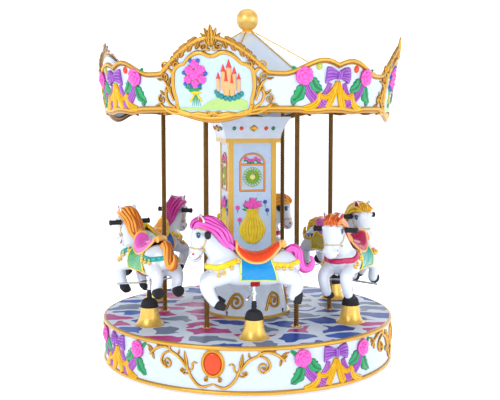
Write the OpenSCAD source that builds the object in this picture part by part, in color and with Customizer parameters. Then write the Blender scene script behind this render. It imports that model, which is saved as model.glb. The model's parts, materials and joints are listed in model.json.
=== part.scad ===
// Six-seat carousel. A deck, skirt, column and canopy turn as one on a fixed steel chassis.
// Six horses ride on steel rods, each raised by its own electric lift under the deck.

/* [Base] */
// Outer radius over the gold rim of the base
base_r = 1100; // [900:10:1320]
// Height of the deck's walking surface above the ground
deck_z = 345; // [330:5:420]
// Thickness of the deck panel
deck_t = 20; // [12:1:26]
// Wall of the skirt shell
skirt_t = 5; // [4:1:8]
// Gap between the ground and the skirt's lower edge
skirt_gap = 20; // [15:1:30]
// Radius of the half-round trim on the skirt's edges
trim_r = 15; // [10:1:20]
// Half width of a red gem on the skirt
gem_a = 57; // [40:1:62]
// Half height of a red gem on the skirt
gem_b = 73; // [50:1:85]
// Width of the gold frame around a gem
gem_rim = 17; // [8:1:22]

/* [Chassis] */
// Height of the chassis tubes' underside above the ground
frame_gap = 45; // [35:1:55]
// Height of a chassis tube
beam_h = 40; // [30:1:50]
// Width of a chassis tube
beam_w = 60; // [40:1:80]
// Radius of a levelling foot
foot_r = 35; // [25:1:50]
// Radius of the fixed centre spindle
spindle_r = 30; // [20:1:40]
// Radius of a support roller
roller_r = 35; // [28:1:42]
// Width of a support roller
roller_w = 40; // [25:1:50]
// Radius of the rubber drive wheel
drive_r = 60; // [45:1:72]

/* [Lifts] */
// Stroke of a horse's lift
lift = 60; // [40:1:70]
// Wall of a lift's tube
lift_wall = 8; // [4:1:10]
// Radius of a lift's motor
lift_motor_r = 18; // [14:1:24]

/* [Horses] */
// Distance from the rim to the circle of horses
horse_inset = 260; // [240:5:300]
// Size of a horse, as a share of the drawn one
horse_size = 1; // [0.8:0.05:1.15]
// Radius of a lifting rod
rod_r = 12; // [9:0.5:16]
// Underside of a horse's belly above the deck
belly_h = 355; // [340:1:400]
// Radius of the foot of a pedestal
pedestal_r = 105; // [90:1:125]
// Radius of the top of a pedestal
pedestal_top_r = 62; // [50:1:75]
// Height of a pedestal
pedestal_h = 126; // [110:1:140]
// Height of the rubber boot at rest
boot_h = 128; // [115:1:140]

/* [Poles and column] */
// Distance from the rim to the circle of poles
pole_inset = 465; // [430:5:500]
// Radius of a pole
pole_r = 19; // [14:1:25]
// Half side of the square column
column_a = 177; // [150:1:205]
// Top of the column's shaft above the ground
column_top = 1672; // [1560:4:1690]
// Foot radius of the column's round base
column_base_r = 312; // [290:2:350]
// Height of the column's round base
column_base_h = 265; // [220:5:310]
// How far the square column is turned on its base
column_turn = 9; // [0:1:45]
// Outer radius of the mast inside the column
mast_r = 44.5; // [35:0.5:60]

/* [Canopy] */
// Height of the canopy frame's underside above the ground
canopy_z = 1870; // [1850:5:2000]
// Distance from the rim in to the fascia's lower edge
fascia_inset = 65; // [40:5:90]
// Outward lean of the fascia for each unit of height
fascia_flare = 0.155; // [0.05:0.005:0.25]
// Wall of the fascia shell
fascia_t = 8; // [5:1:12]
// Rise of the roof cone above the canopy frame
roof_rise = 553; // [420:1:640]
// Wall of the roof cone, measured upright
roof_t = 8; // [5:1:12]
// Radius of the ball finial
ball_r = 85; // [60:1:100]

/* [Hidden] */
SEATS = 6;
FIT = 0.05;
GAP = 0.3;
$fn = 96;

STEP = 360 / SEATS;
GOLD = [0.80, 0.60, 0.22];
STEEL = [0.45, 0.47, 0.50];
WHITE = [0.88, 0.91, 0.95];
RUBBER = [0.04, 0.04, 0.05];

// Circles that pieces stand on
horse_r = base_r - horse_inset;
ring_r = base_r - pole_inset;
skirt_r = base_r - trim_r;
deck_r = skirt_r - skirt_t;
runner_r = horse_r - 280;
runner_w = 80;
foot_ring_r = horse_r + 40;

// Heights, from the ground up
gem_z = deck_z + 2 - 2 * trim_r - gem_b - gem_rim;
beam_top = frame_gap + beam_h;
deck_low = deck_z - deck_t;
deck_beam_h = 50;
deck_beam_w = 40;
deck_beam_z = deck_low - deck_beam_h;
runner_t = 12;
runner_z = deck_beam_z - 70;
web_t = 8;
roller_z = runner_z - GAP - roller_r;
lift_low = beam_top + 20;
lift_gear_h = 30;
rod_low = lift_low + lift_gear_h + 5;
piston_h = 12;
bush_z = rod_low + piston_h + lift + 20;
bush_r = rod_r + 8;
bush_top = deck_z + 50;

// Column and canopy
base_top = deck_z + column_base_h;
base_top_r = column_a * sqrt(2) + 8;
strip_w = 37;
strip_t = 4;
band_h = 32;
band_out = 30;
wall = 5;
cornice_h = 153;
cornice_out = 63;
frame_h = 40;
frame_w = 40;
canopy_top = canopy_z + frame_h;
fascia_r = base_r - fascia_inset;
fascia_low = canopy_z - 75;
roof_r = fascia_r + fascia_flare * (canopy_z - fascia_low) - fascia_t - 0.4;
roof_top_r = mast_r + 0.5;
mast_top = canopy_top + roof_rise + 6;
PANEL_TURN = -15;

// ---- small helpers ----

module around(count, turn = 0) {
    for (i = [0:count - 1])
        rotate([0, 0, turn + i * 360 / count])
            children();
}

// A ring with a rectangular section
module ring(r_out, r_in, z, h) {
    translate([0, 0, z])
        difference() {
            cylinder(h = h, r = r_out);
            translate([0, 0, -1])
                cylinder(h = h + 2, r = r_in);
        }
}

// A bar from radius r1 to radius r2, pointing at the viewer's side (-Y)
module spoke(r1, r2, w, z, h) {
    translate([-w / 2, -r2, z])
        cube([w, r2 - r1, h]);
}

// A half-round moulding that runs around the skirt
module half_round(r, z, bead) {
    rotate_extrude()
        translate([r, z])
            intersection() {
                circle(r = bead);
                translate([0, -bead])
                    square([bead, 2 * bead]);
            }
}

// An upright oval plate whose back lies on the skirt
module oval_plate(a, b, depth) {
    outline = [for (t = [0:7.5:352.5]) [a * cos(t), b * sin(t)]];
    difference() {
        translate([0, -skirt_r + 12, gem_z])
            rotate([90, 0, 0])
                linear_extrude(depth + 12)
                    polygon(outline);
        cylinder(h = deck_z, r = skirt_r, $fn = 360);
    }
}

// A hollow square box, open at both ends
module square_tube(a_out, a_in, z, h) {
    translate([0, 0, z])
        linear_extrude(h)
            difference() {
                square(2 * a_out, center = true);
                square(2 * a_in, center = true);
            }
}

// Puts a horse's own frame (X forward, Y outward) at seat i, counted from 1
module seat(i) {
    rotate([0, 0, (i - 1) * STEP])
        translate([0, -horse_r, 0])
            rotate([0, 0, 180])
                children();
}

// ---- chassis ----

module chassis_frame() {
    color(STEEL) {
        ring(150, 8, frame_gap, beam_h);
        ring(horse_r + beam_w / 2, horse_r - beam_w / 2, frame_gap, beam_h);
        around(SEATS, STEP / 2)
            spoke(100, foot_ring_r + foot_r, beam_w, frame_gap, beam_h);
    }
}

module levelling_feet() {
    pad_h = 12;
    color(RUBBER)
        around(SEATS, STEP / 2)
            translate([0, -foot_ring_r, 0]) {
                cylinder(h = pad_h, r = foot_r);
                cylinder(h = frame_gap, r = 8);
                translate([0, 0, pad_h])
                    cylinder(h = 10, r = 16, $fn = 6);
            }
}

module centre_spindle() {
    color(STEEL) {
        translate([0, 0, beam_top])
            cylinder(h = 12, r = 100);
        translate([0, 0, beam_top])
            cylinder(h = deck_low - 25 - beam_top, r = spindle_r);
    }
}

module roller_brackets() {
    cheek_t = 6;
    color(STEEL)
        around(3, STEP / 2) {
            for (side = [-1, 1])
                translate([-30, -runner_r + side * (roller_w / 2 + 1 + cheek_t / 2) - cheek_t / 2, beam_top])
                    cube([60, cheek_t, roller_z + 15 - beam_top]);
            translate([0, -runner_r + roller_w / 2 + 1 + cheek_t, roller_z])
                rotate([90, 0, 0])
                    cylinder(h = roller_w + 2 + 2 * cheek_t, r = 8);
        }
}

module support_roller(i) {
    color(RUBBER)
        rotate([0, 0, STEP / 2 + (i - 1) * 120])
            translate([0, -runner_r + roller_w / 2, roller_z])
                rotate([90, 0, 0])
                    difference() {
                        cylinder(h = roller_w, r = roller_r);
                        translate([0, 0, -1])
                            cylinder(h = roller_w + 2, r = 8 + FIT);
                    }
}

// Radius at which the drive wheel's shaft stands
drive_at = runner_r - runner_w / 2 - drive_r - GAP;
gearbox_top = runner_z - 10;
DRIVE_TURN = 90;

module gearmotor() {
    box_a = 50;
    color([0.16, 0.28, 0.45])
        rotate([0, 0, DRIVE_TURN]) {
            difference() {
                translate([-box_a, -drive_at - box_a, beam_top])
                    cube([2 * box_a, 2 * box_a, gearbox_top - beam_top]);
                translate([0, -drive_at, gearbox_top - 15])
                    cylinder(h = 20, r = 10 + FIT);
            }
            translate([0, -drive_at + box_a, beam_top + 52])
                rotate([-90, 0, 0])
                    cylinder(h = 170, r = 46);
        }
}

module drive_wheel() {
    color(RUBBER)
        rotate([0, 0, DRIVE_TURN])
            translate([0, -drive_at, 0]) {
                translate([0, 0, gearbox_top - 15])
                    cylinder(h = deck_beam_z - 3 - gearbox_top + 15, r = 10);
                translate([0, 0, runner_z + runner_t + 8])
                    cylinder(h = 40, r = drive_r);
            }
}

module control_box() {
    color([0.75, 0.76, 0.74])
        rotate([0, 0, 210])
            translate([-100, -horse_r + 60, beam_top])
                cube([200, 120, 90]);
}

// ---- turning base ----

module bearing_hub() {
    hub_z = deck_beam_z - 120;
    color(STEEL)
        difference() {
            union() {
                translate([0, 0, hub_z])
                    cylinder(h = deck_beam_z - hub_z, r = spindle_r + 32);
                translate([0, 0, deck_beam_z - 14])
                    cylinder(h = 14, r = 120);
            }
            translate([0, 0, hub_z - 1])
                cylinder(h = deck_beam_z - hub_z + 2, r = spindle_r + FIT);
        }
}

module deck_frame() {
    color(STEEL) {
        ring(140, spindle_r + 4, deck_beam_z, deck_beam_h);
        ring(runner_r + 20, runner_r - 20, deck_beam_z, deck_beam_h);
        ring(horse_r - 60, horse_r - 60 - deck_beam_w, deck_beam_z, deck_beam_h);
        ring(deck_r, deck_r - deck_beam_w, deck_beam_z, deck_beam_h);
        around(SEATS, STEP / 2)
            spoke(100, deck_r - 20, deck_beam_w, deck_beam_z, deck_beam_h);
    }
}

module runner_ring() {
    color(STEEL) {
        ring(runner_r + runner_w / 2, runner_r - runner_w / 2, runner_z, runner_t);
        ring(runner_r - runner_w / 2 + web_t, runner_r - runner_w / 2, runner_z, deck_beam_z - runner_z - 8);
        ring(runner_r + 10, runner_r - runner_w / 2, deck_beam_z - 8, 8);
    }
}

module deck() {
    color(WHITE)
        translate([0, 0, deck_low])
            difference() {
                cylinder(h = deck_t, r = deck_r, $fn = 180);
                translate([0, 0, -1])
                    cylinder(h = deck_t + 2, r = 100);
                around(SEATS)
                    translate([0, -horse_r, -1])
                        cylinder(h = deck_t + 2, r = bush_r + GAP);
            }
}

module skirt() {
    color(WHITE)
        ring(skirt_r, deck_r, skirt_gap, deck_z - skirt_gap, $fn = 180);
}

module top_trim() {
    color(GOLD)
        half_round(skirt_r, deck_z - trim_r + 2, trim_r, $fn = 180);
}

module bottom_trim() {
    color(GOLD)
        half_round(skirt_r, skirt_gap + trim_r, trim_r, $fn = 180);
}

module gem_frames() {
    color(GOLD)
        around(4, PANEL_TURN)
            difference() {
                oval_plate(gem_a + gem_rim, gem_b + gem_rim, 9);
                oval_plate(gem_a, gem_b, 12);
            }
}

module gems() {
    color([0.80, 0.08, 0.02])
        around(4, PANEL_TURN)
            oval_plate(gem_a - 0.1, gem_b - 0.1, 6);
}

// ---- horses' stands ----

// Outer radius of the bell at height h: straight upper wall that sweeps out to the foot
function bell_radius(h) =
    pedestal_top_r + 14 * (1 - h / pedestal_h)
    + (pedestal_r - pedestal_top_r - 14) * pow(1 - h / pedestal_h, 4);

module pedestals() {
    levels = [for (i = [0:12]) i * pedestal_h / 12];
    outer = [for (h = levels) [bell_radius(h), h]];
    inner = [for (i = [12:-1:0]) [bell_radius(levels[i]) - wall, min(levels[i], pedestal_h - wall)]];
    color(GOLD)
        around(SEATS)
            translate([0, -horse_r, deck_z]) {
                rotate_extrude()
                    polygon(concat(outer, inner));
                ring(pedestal_top_r - 1, bush_r + 3, pedestal_h - wall, wall);
            }
}

module rod_bushes() {
    color([0.72, 0.55, 0.28])
        around(SEATS)
            translate([0, -horse_r, 0])
                difference() {
                    union() {
                        translate([0, 0, bush_z])
                            cylinder(h = bush_top - bush_z, r = bush_r);
                        translate([0, 0, deck_low - 8])
                            cylinder(h = 8, r = bush_r + 20);
                    }
                    translate([0, 0, bush_z - 1])
                        cylinder(h = bush_top - bush_z + 2, r = rod_r + FIT);
                }
}

// Tubes that the rods' pistons run in, each with its motor on the outer side
module lift_cylinders() {
    tube_r = bush_r + lift_wall;
    motor_y = -tube_r - lift_motor_r - 2;
    color(STEEL)
        around(SEATS)
            translate([0, -horse_r, 0])
                difference() {
                    union() {
                        translate([0, 0, lift_low])
                            cylinder(h = deck_low - 8 - lift_low, r = tube_r);
                        translate([-20, motor_y - lift_motor_r, lift_low])
                            cube([40, -motor_y + lift_motor_r, lift_gear_h]);
                        translate([0, motor_y, lift_low])
                            cylinder(h = lift_gear_h + 80, r = lift_motor_r);
                    }
                    translate([0, 0, lift_low + lift_gear_h])
                        cylinder(h = deck_low - lift_low, r = bush_r + FIT);
                }
}

boot_low = deck_z + pedestal_h;
stem_h = 53;

// Outer radius of the boot at height h: a dome, then a narrow stem
function boot_radius(h) =
    h < boot_h - stem_h
        ? max(rod_r + 3, (pedestal_top_r + 1) * sqrt(1 - pow(h / (boot_h - stem_h + 2), 2.4)))
        : rod_r + 3;

module boot(i) {
    dome_h = boot_h - stem_h;
    levels = concat([for (j = [0:9]) j * dome_h / 9.01], [boot_h]);
    last = len(levels) - 1;
    outer = [for (h = levels) [boot_radius(h), h]];
    inner = [for (j = [last:-1:0]) [max(rod_r + GAP, boot_radius(levels[j]) - 4), j == 0 ? 0 : levels[j] - (j == last ? 0 : 3)]];
    color(RUBBER)
        seat(i)
            translate([0, 0, boot_low])
                rotate_extrude()
                    polygon(concat(outer, inner));
}

// ---- lifting rods ----

// Footrest pegs, swept forward from the rod
peg_len = 233;
peg_sweep = 15;

module rod(i) {
    block = [64, 64, 26];
    color([0.55, 0.58, 0.62])
        seat(i) {
            translate([0, 0, rod_low])
                cylinder(h = piston_h, r = bush_r - GAP);
            translate([0, 0, rod_low + piston_h - 1])
                cylinder(h = deck_z + belly_h - rod_low - piston_h + 1, r = rod_r);
            translate([0, 0, boot_low + boot_h])
                cylinder(h = 8, r = rod_r + 5);
            translate([-block[0] / 2, -block[1] / 2, deck_z + belly_h])
                cube(block);
            translate([0, 0, deck_z + belly_h - 60])
                cylinder(h = 24, r = rod_r + 8);
            for (side = [-1, 1])
                translate([0, 0, deck_z + belly_h - 48])
                    rotate([0, 0, side * (90 - peg_sweep)])
                        rotate([0, 90, 0])
                            cylinder(h = peg_len, r = 7);
        }
}

// ---- horses ----

// A rounded limb between two balls
module limb(p, q, rp, rq) {
    hull() {
        translate(p)
            sphere(r = rp, $fn = 10);
        translate(q)
            sphere(r = rq, $fn = 10);
    }
}

// A leg through hip, knee, ankle and hoof, on one side
module leg(side, hip, knee, ankle, hoof, sizes) {
    function at(p) = [p[0], side * p[1], p[2]];
    limb(at(hip), at(knee), sizes[0], sizes[1]);
    limb(at(knee), at(ankle), sizes[1], sizes[2]);
    limb(at(ankle), at(hoof), sizes[2], sizes[2] + 6);
}

// The grip bar and its two rubber grips
module grips(spot) {
    translate(spot)
        rotate([90, 0, 0])
            cylinder(h = 290, r = 8, center = true, $fn = 20);
    for (side = [-1, 1])
        translate(spot + [0, side * 115, 0])
            rotate([90, 0, 0])
                cylinder(h = 80, r = 17, center = true, $fn = 20);
}

module horse(i) {
    spine = [[195, 0, 476], [0, 0, 441], [-175, 0, 482]];
    poll = [348, 0, 706];
    muzzle = [396, 0, 547];
    grip = [310, 0, 698];
    mane = [[376, 0, 784], [300, 0, 792], [212, 0, 738], [150, 0, 612]];
    tail = [[-226, 0, 574], [-272, 0, 590], [-302, 0, 508], [-345, 0, 456], [-385, 0, 505]];
    tail_sizes = [32, 34, 38, 36, 26];
    block = 64;
    color(WHITE)
        seat(i)
            translate([0, 0, deck_z + belly_h - horse_size * 341])
                scale(horse_size) {
                    difference() {
                        union() {
                            limb(spine[0], spine[1], 100, 100);
                            limb(spine[1], spine[2], 100, 110);
                            limb([190, 0, 535], poll, 88, 68);
                            limb(poll, muzzle, 70, 50);
                            for (j = [0:len(mane) - 2])
                                limb(mane[j], mane[j + 1], 34, 34);
                            for (side = [-1, 1])
                                limb([352, side * 36, 765], [356, side * 46, 814], 22, 8);
                            limb([112, -62, 560], [112, 62, 560], 30, 30);
                            limb([108, 0, 565], [122, 0, 628], 34, 20);
                            limb([-155, -66, 572], [-155, 66, 572], 28, 28);
                            limb([-156, 0, 580], [-184, 0, 630], 34, 20);
                            for (side = [-1, 1]) {
                                leg(side, [200, 60, 430], [320, 80, 378], [282, 80, 245], [236, 80, 208], [66, 44, 30]);
                                leg(side, [-190, 60, 440], [-275, 78, 385], [-250, 78, 262], [-292, 78, 244], [78, 46, 31]);
                            }
                            for (j = [0:len(tail) - 2])
                                limb(tail[j], tail[j + 1], tail_sizes[j], tail_sizes[j + 1]);
                        }
                        translate([-block / 2 - 0.5, -block / 2 - 0.5, 300])
                            cube([block + 1, block + 1, 41 + 26 / horse_size]);
                        translate(grip)
                            rotate([90, 0, 0])
                                cylinder(h = 240, r = 8.5, center = true, $fn = 20);
                        for (side = [-1, 1])
                            translate(grip + [0, side * 115, 0])
                                rotate([90, 0, 0])
                                    cylinder(h = 82, r = 18, center = true, $fn = 20);
                    }
                    grips(grip);
                }
}

// ---- column ----

module column_base() {
    color(WHITE)
        translate([0, 0, deck_z])
            difference() {
                cylinder(h = column_base_h, r1 = column_base_r, r2 = base_top_r);
                translate([0, 0, -wall])
                    cylinder(h = column_base_h, r1 = column_base_r - wall, r2 = base_top_r - wall);
                cylinder(h = column_base_h + 1, r = mast_r + 60);
            }
}

module mast() {
    mast_low = deck_beam_z + deck_beam_h;
    color(STEEL)
        difference() {
            union() {
                translate([0, 0, mast_low])
                    cylinder(h = 12, r = 95);
                translate([0, 0, mast_low])
                    cylinder(h = mast_top - mast_low, r = mast_r);
            }
            translate([0, 0, mast_low - 1])
                cylinder(h = mast_top - mast_low + 2, r = mast_r - 5);
        }
}

module column_shell() {
    color(WHITE)
        rotate([0, 0, column_turn])
            square_tube(column_a, column_a - wall, base_top, column_top - base_top);
}

module column_strips() {
    outer = column_a + strip_t;
    color(GOLD)
        rotate([0, 0, column_turn])
            around(4)
                translate([0, 0, base_top])
                    linear_extrude(column_top - band_h - base_top)
                        difference() {
                            translate([outer - strip_w, outer - strip_w])
                                square(strip_w);
                            square(2 * column_a, center = true);
                        }
}

module column_mouldings() {
    foot_bead = 12;
    color(GOLD) {
        translate([0, 0, deck_z])
            difference() {
                cylinder(h = 20, r = column_base_r + foot_bead);
                translate([0, 0, -0.01])
                    cylinder(h = column_base_h, r1 = column_base_r + FIT, r2 = base_top_r + FIT);
            }
        rotate([0, 0, column_turn])
            square_tube(column_a + band_out, column_a + FIT, column_top - band_h, band_h);
    }
}

// Half side of the cornice at height h, a hollow curve
function cornice_a(h) = column_a + band_out + cornice_out * pow(h / cornice_h, 1.6);

module cornice() {
    rises = [for (j = [0:4]) j * cornice_h / 4];
    plate = 6;
    color(WHITE)
        rotate([0, 0, column_turn + 45])
            translate([0, 0, column_top])
                difference() {
                    union() {
                        for (j = [0:3])
                            translate([0, 0, rises[j]])
                                cylinder(h = cornice_h / 4, r1 = cornice_a(rises[j]) * sqrt(2), r2 = cornice_a(rises[j + 1]) * sqrt(2), $fn = 4);
                        translate([0, 0, cornice_h])
                            cylinder(h = plate, r = cornice_a(cornice_h) * sqrt(2), $fn = 4);
                    }
                    translate([0, 0, -1])
                        cylinder(h = cornice_h + 1, r = (column_a - wall) * sqrt(2), $fn = 4);
                    cylinder(h = cornice_h + 2 * plate, r = mast_r + 0.5);
                }
}

// ---- poles ----

module canopy_poles() {
    color(GOLD)
        around(SEATS, STEP / 2)
            translate([0, -ring_r, deck_z])
                cylinder(h = canopy_z - deck_z, r = pole_r);
}

module pole_flanges() {
    flange_t = 8;
    color(GOLD)
        around(SEATS, STEP / 2)
            translate([0, -ring_r, 0]) {
                ring(pole_r + 20, pole_r + FIT, deck_z, flange_t);
                ring(pole_r + 20, pole_r + FIT, canopy_z - flange_t, flange_t);
            }
}

// ---- canopy ----

module canopy_hub() {
    color(STEEL)
        ring(100, mast_r + FIT, canopy_z, frame_h);
}

module canopy_mid_ring() {
    color(STEEL)
        ring(ring_r + 30, ring_r - 30, canopy_z, frame_h);
}

module canopy_eave_ring() {
    color(STEEL)
        ring(roof_r, roof_r - frame_w, canopy_z, frame_h);
}

// A bar whose two ends follow a round hub and a ring
module fitted_bar(r1, r2) {
    difference() {
        intersection() {
            spoke(r1 - 10, r2 + 10, frame_w, canopy_z, frame_h);
            translate([0, 0, canopy_z - 1])
                cylinder(h = frame_h + 2, r = r2);
        }
        translate([0, 0, canopy_z - 1])
            cylinder(h = frame_h + 2, r = r1);
    }
}

module canopy_spokes() {
    color(STEEL)
        around(SEATS, STEP / 2) {
            fitted_bar(100, ring_r - 30);
            fitted_bar(ring_r + 30, roof_r - frame_w);
        }
}

// A smooth bump that is 1 at the middle and 0 at the half width and beyond
function bump(x, half) = abs(x) < half ? (1 + cos(180 * x / half)) / 2 : 0;

// Angle from the middle of the nearest medallion, and of the nearest bow panel
function off_medallion(a) = (a - PANEL_TURN + 45 + 720) % 90 - 45;
function off_bow(a) = (a - PANEL_TURN + 720) % 90 - 45;

// Lower and upper edge of the fascia, above its lowest point, at angle a
function fascia_bottom(a) =
    let (m = off_medallion(a), b = off_bow(a))
    fascia_low + 66 - 66 * bump(m, 20) - 12 * bump(abs(b) - 9, 7);
function fascia_top(a) =
    let (m = off_medallion(a), b = off_bow(a))
    canopy_z + 246 + 180 * sqrt(bump(m, 19)) + 88 * bump(abs(b) - 6, 15) + 36 * bump(m, 24);
function fascia_at(z) = fascia_r + fascia_flare * (z - fascia_low);

module canopy_fascia() {
    count = 144;
    rows = 4;
    // Up the outside, then down the inside
    levels = concat([for (j = [0:rows]) j / rows], [for (j = [rows:-1:0]) j / rows]);
    loop_n = len(levels);
    points = [for (i = [0:count - 1])
        let (a = i * 360 / count, low = fascia_bottom(a), high = fascia_top(a))
        for (j = [0:loop_n - 1])
            let (z = low + (high - low) * levels[j], r = fascia_at(z) - (j > rows ? fascia_t : 0))
            [r * sin(a), -r * cos(a), z]];
    faces = [for (i = [0:count - 1])
        for (j = [0:loop_n - 1])
            let (i2 = (i + 1) % count, j2 = (j + 1) % loop_n)
            [i * loop_n + j, i * loop_n + j2, i2 * loop_n + j2, i2 * loop_n + j]];
    color(WHITE)
        polyhedron(points = points, faces = faces);
}

module roof_cone() {
    color(WHITE)
        translate([0, 0, canopy_top])
            difference() {
                cylinder(h = roof_rise, r1 = roof_r, r2 = roof_top_r, $fn = 180);
                translate([0, 0, -roof_t])
                    cylinder(h = roof_rise, r1 = roof_r, r2 = roof_top_r, $fn = 180);
                translate([0, 0, roof_rise / 2])
                    cylinder(h = roof_rise, r = roof_top_r);
            }
}

module roof_ribs() {
    rib_w = 8;
    slope = roof_rise / (roof_r - roof_top_r);
    near = mast_r + 20;
    far = roof_r - 10;
    function up(r) = canopy_top + slope * (roof_r - r);
    color(GOLD)
        around(8, PANEL_TURN)
            rotate([90, 0, -90])
                translate([0, 0, -rib_w / 2])
                    linear_extrude(rib_w)
                        polygon([[near, up(near)], [far, up(far)], [far, up(far) + rib_w], [near, up(near) + rib_w]]);
}

module finial() {
    color(GOLD)
        translate([0, 0, mast_top]) {
            cylinder(h = 12, r = mast_r + 4);
            translate([0, 0, ball_r])
                sphere(r = ball_r, $fn = 64);
        }
}

chassis_frame();
levelling_feet();
centre_spindle();
roller_brackets();
gearmotor();
control_box();
drive_wheel();
bearing_hub();
deck_frame();
runner_ring();
deck();
skirt();
top_trim();
bottom_trim();
gem_frames();
gems();
column_base();
mast();
column_shell();
column_strips();
column_mouldings();
cornice();
canopy_poles();
pole_flanges();
canopy_hub();
canopy_mid_ring();
canopy_eave_ring();
canopy_spokes();
canopy_fascia();
roof_cone();
roof_ribs();
finial();
pedestals();
rod_bushes();
lift_cylinders();
support_roller(1);  // support_roller_1
support_roller(2);  // support_roller_2
support_roller(3);  // support_roller_3
horse(1);  // horse_1
horse(2);  // horse_2
horse(3);  // horse_3
horse(4);  // horse_4
horse(5);  // horse_5
horse(6);  // horse_6
rod(1);  // rod_1
rod(2);  // rod_2
rod(3);  // rod_3
rod(4);  // rod_4
rod(5);  // rod_5
rod(6);  // rod_6
boot(1);  // boot_1
boot(2);  // boot_2
boot(3);  // boot_3
boot(4);  // boot_4
boot(5);  // boot_5
boot(6);  // boot_6
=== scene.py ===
"""Finished looks of a six-seat carousel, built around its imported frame.

The frame brings every working part. This script dresses those parts and adds the moulded relief,
the painted panels, the horses' coats, manes and harness, and the trim, each riding on its body.
"""

import json
import logging
import math
from dataclasses import dataclass
from enum import Enum
from typing import Callable, Iterable, Sequence

import bmesh
import bpy
from mathutils import Matrix, Vector
from mathutils.bvhtree import BVHTree

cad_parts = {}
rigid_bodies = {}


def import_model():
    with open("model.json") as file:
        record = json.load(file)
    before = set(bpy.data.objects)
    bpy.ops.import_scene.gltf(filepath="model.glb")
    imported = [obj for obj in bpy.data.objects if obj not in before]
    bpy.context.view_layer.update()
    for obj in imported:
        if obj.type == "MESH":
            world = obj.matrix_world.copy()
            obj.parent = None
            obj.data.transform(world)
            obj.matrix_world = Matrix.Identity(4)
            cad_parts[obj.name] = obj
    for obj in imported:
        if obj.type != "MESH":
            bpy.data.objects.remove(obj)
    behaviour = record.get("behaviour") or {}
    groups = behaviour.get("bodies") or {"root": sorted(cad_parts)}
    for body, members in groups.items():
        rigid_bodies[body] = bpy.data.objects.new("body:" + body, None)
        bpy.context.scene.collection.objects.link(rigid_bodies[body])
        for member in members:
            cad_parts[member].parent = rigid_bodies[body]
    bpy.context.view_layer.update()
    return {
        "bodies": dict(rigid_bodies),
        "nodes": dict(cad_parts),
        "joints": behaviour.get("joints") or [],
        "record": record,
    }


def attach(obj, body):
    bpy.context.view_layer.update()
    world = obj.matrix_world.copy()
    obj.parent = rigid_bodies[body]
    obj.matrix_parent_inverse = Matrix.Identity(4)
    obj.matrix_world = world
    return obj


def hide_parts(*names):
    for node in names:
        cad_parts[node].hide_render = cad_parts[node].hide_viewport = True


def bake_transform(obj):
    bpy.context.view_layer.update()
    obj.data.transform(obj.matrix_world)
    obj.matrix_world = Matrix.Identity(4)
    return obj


LOG = logging.getLogger("carousel")

Colour = tuple[float, float, float]
Mapping = Callable[[Vector], Vector]
Profile = Callable[[float], float]

TAU = 2 * math.pi
MM = 0.001
SEATS = 6
# Point attribute of painted shade: how far each point's colour goes towards its finish's shade colour, in
# hollows, creases and along edges.
PAINTED_SHADE = "hollow"


# --------------------------------------------------------------------------- shader kit


class Socket:
    """A shader value that turns Python sums into Math nodes."""

    def __init__(self, graph: "Graph", out: bpy.types.NodeSocket) -> None:
        """Keeps the graph and the output socket."""
        self.graph = graph
        self.out = out

    def _math(self, operation: str, *values: "Socket | float") -> "Socket":
        """Adds one Math node.

        Args:
            operation: The Math node's operation.
            values: Its inputs in order.

        Returns:
            The node's value.
        """
        inputs = dict(enumerate(values))
        return self.graph.value("ShaderNodeMath", {"operation": operation}, inputs)

    def __add__(self, other: "Socket | float") -> "Socket":
        """Sum."""
        return self._math("ADD", self, other)

    def __sub__(self, other: "Socket | float") -> "Socket":
        """Difference."""
        return self._math("SUBTRACT", self, other)

    def __rsub__(self, other: float) -> "Socket":
        """Difference with the number first."""
        return self._math("SUBTRACT", other, self)

    def __mul__(self, other: "Socket | float") -> "Socket":
        """Product."""
        return self._math("MULTIPLY", self, other)

    def __gt__(self, other: "Socket | float") -> "Socket":
        """1 where this is greater, else 0."""
        return self._math("GREATER_THAN", self, other)

    def ramp(self, low: float, high: float) -> "Socket":
        """A smooth step from 0 at low to 1 at high."""
        settings = {"interpolation_type": "SMOOTHSTEP", "clamp": True}
        return self.graph.value(
            "ShaderNodeMapRange", settings, {"Value": self, "From Min": low, "From Max": high}
        )

    __radd__ = __add__
    __rmul__ = __mul__


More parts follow.
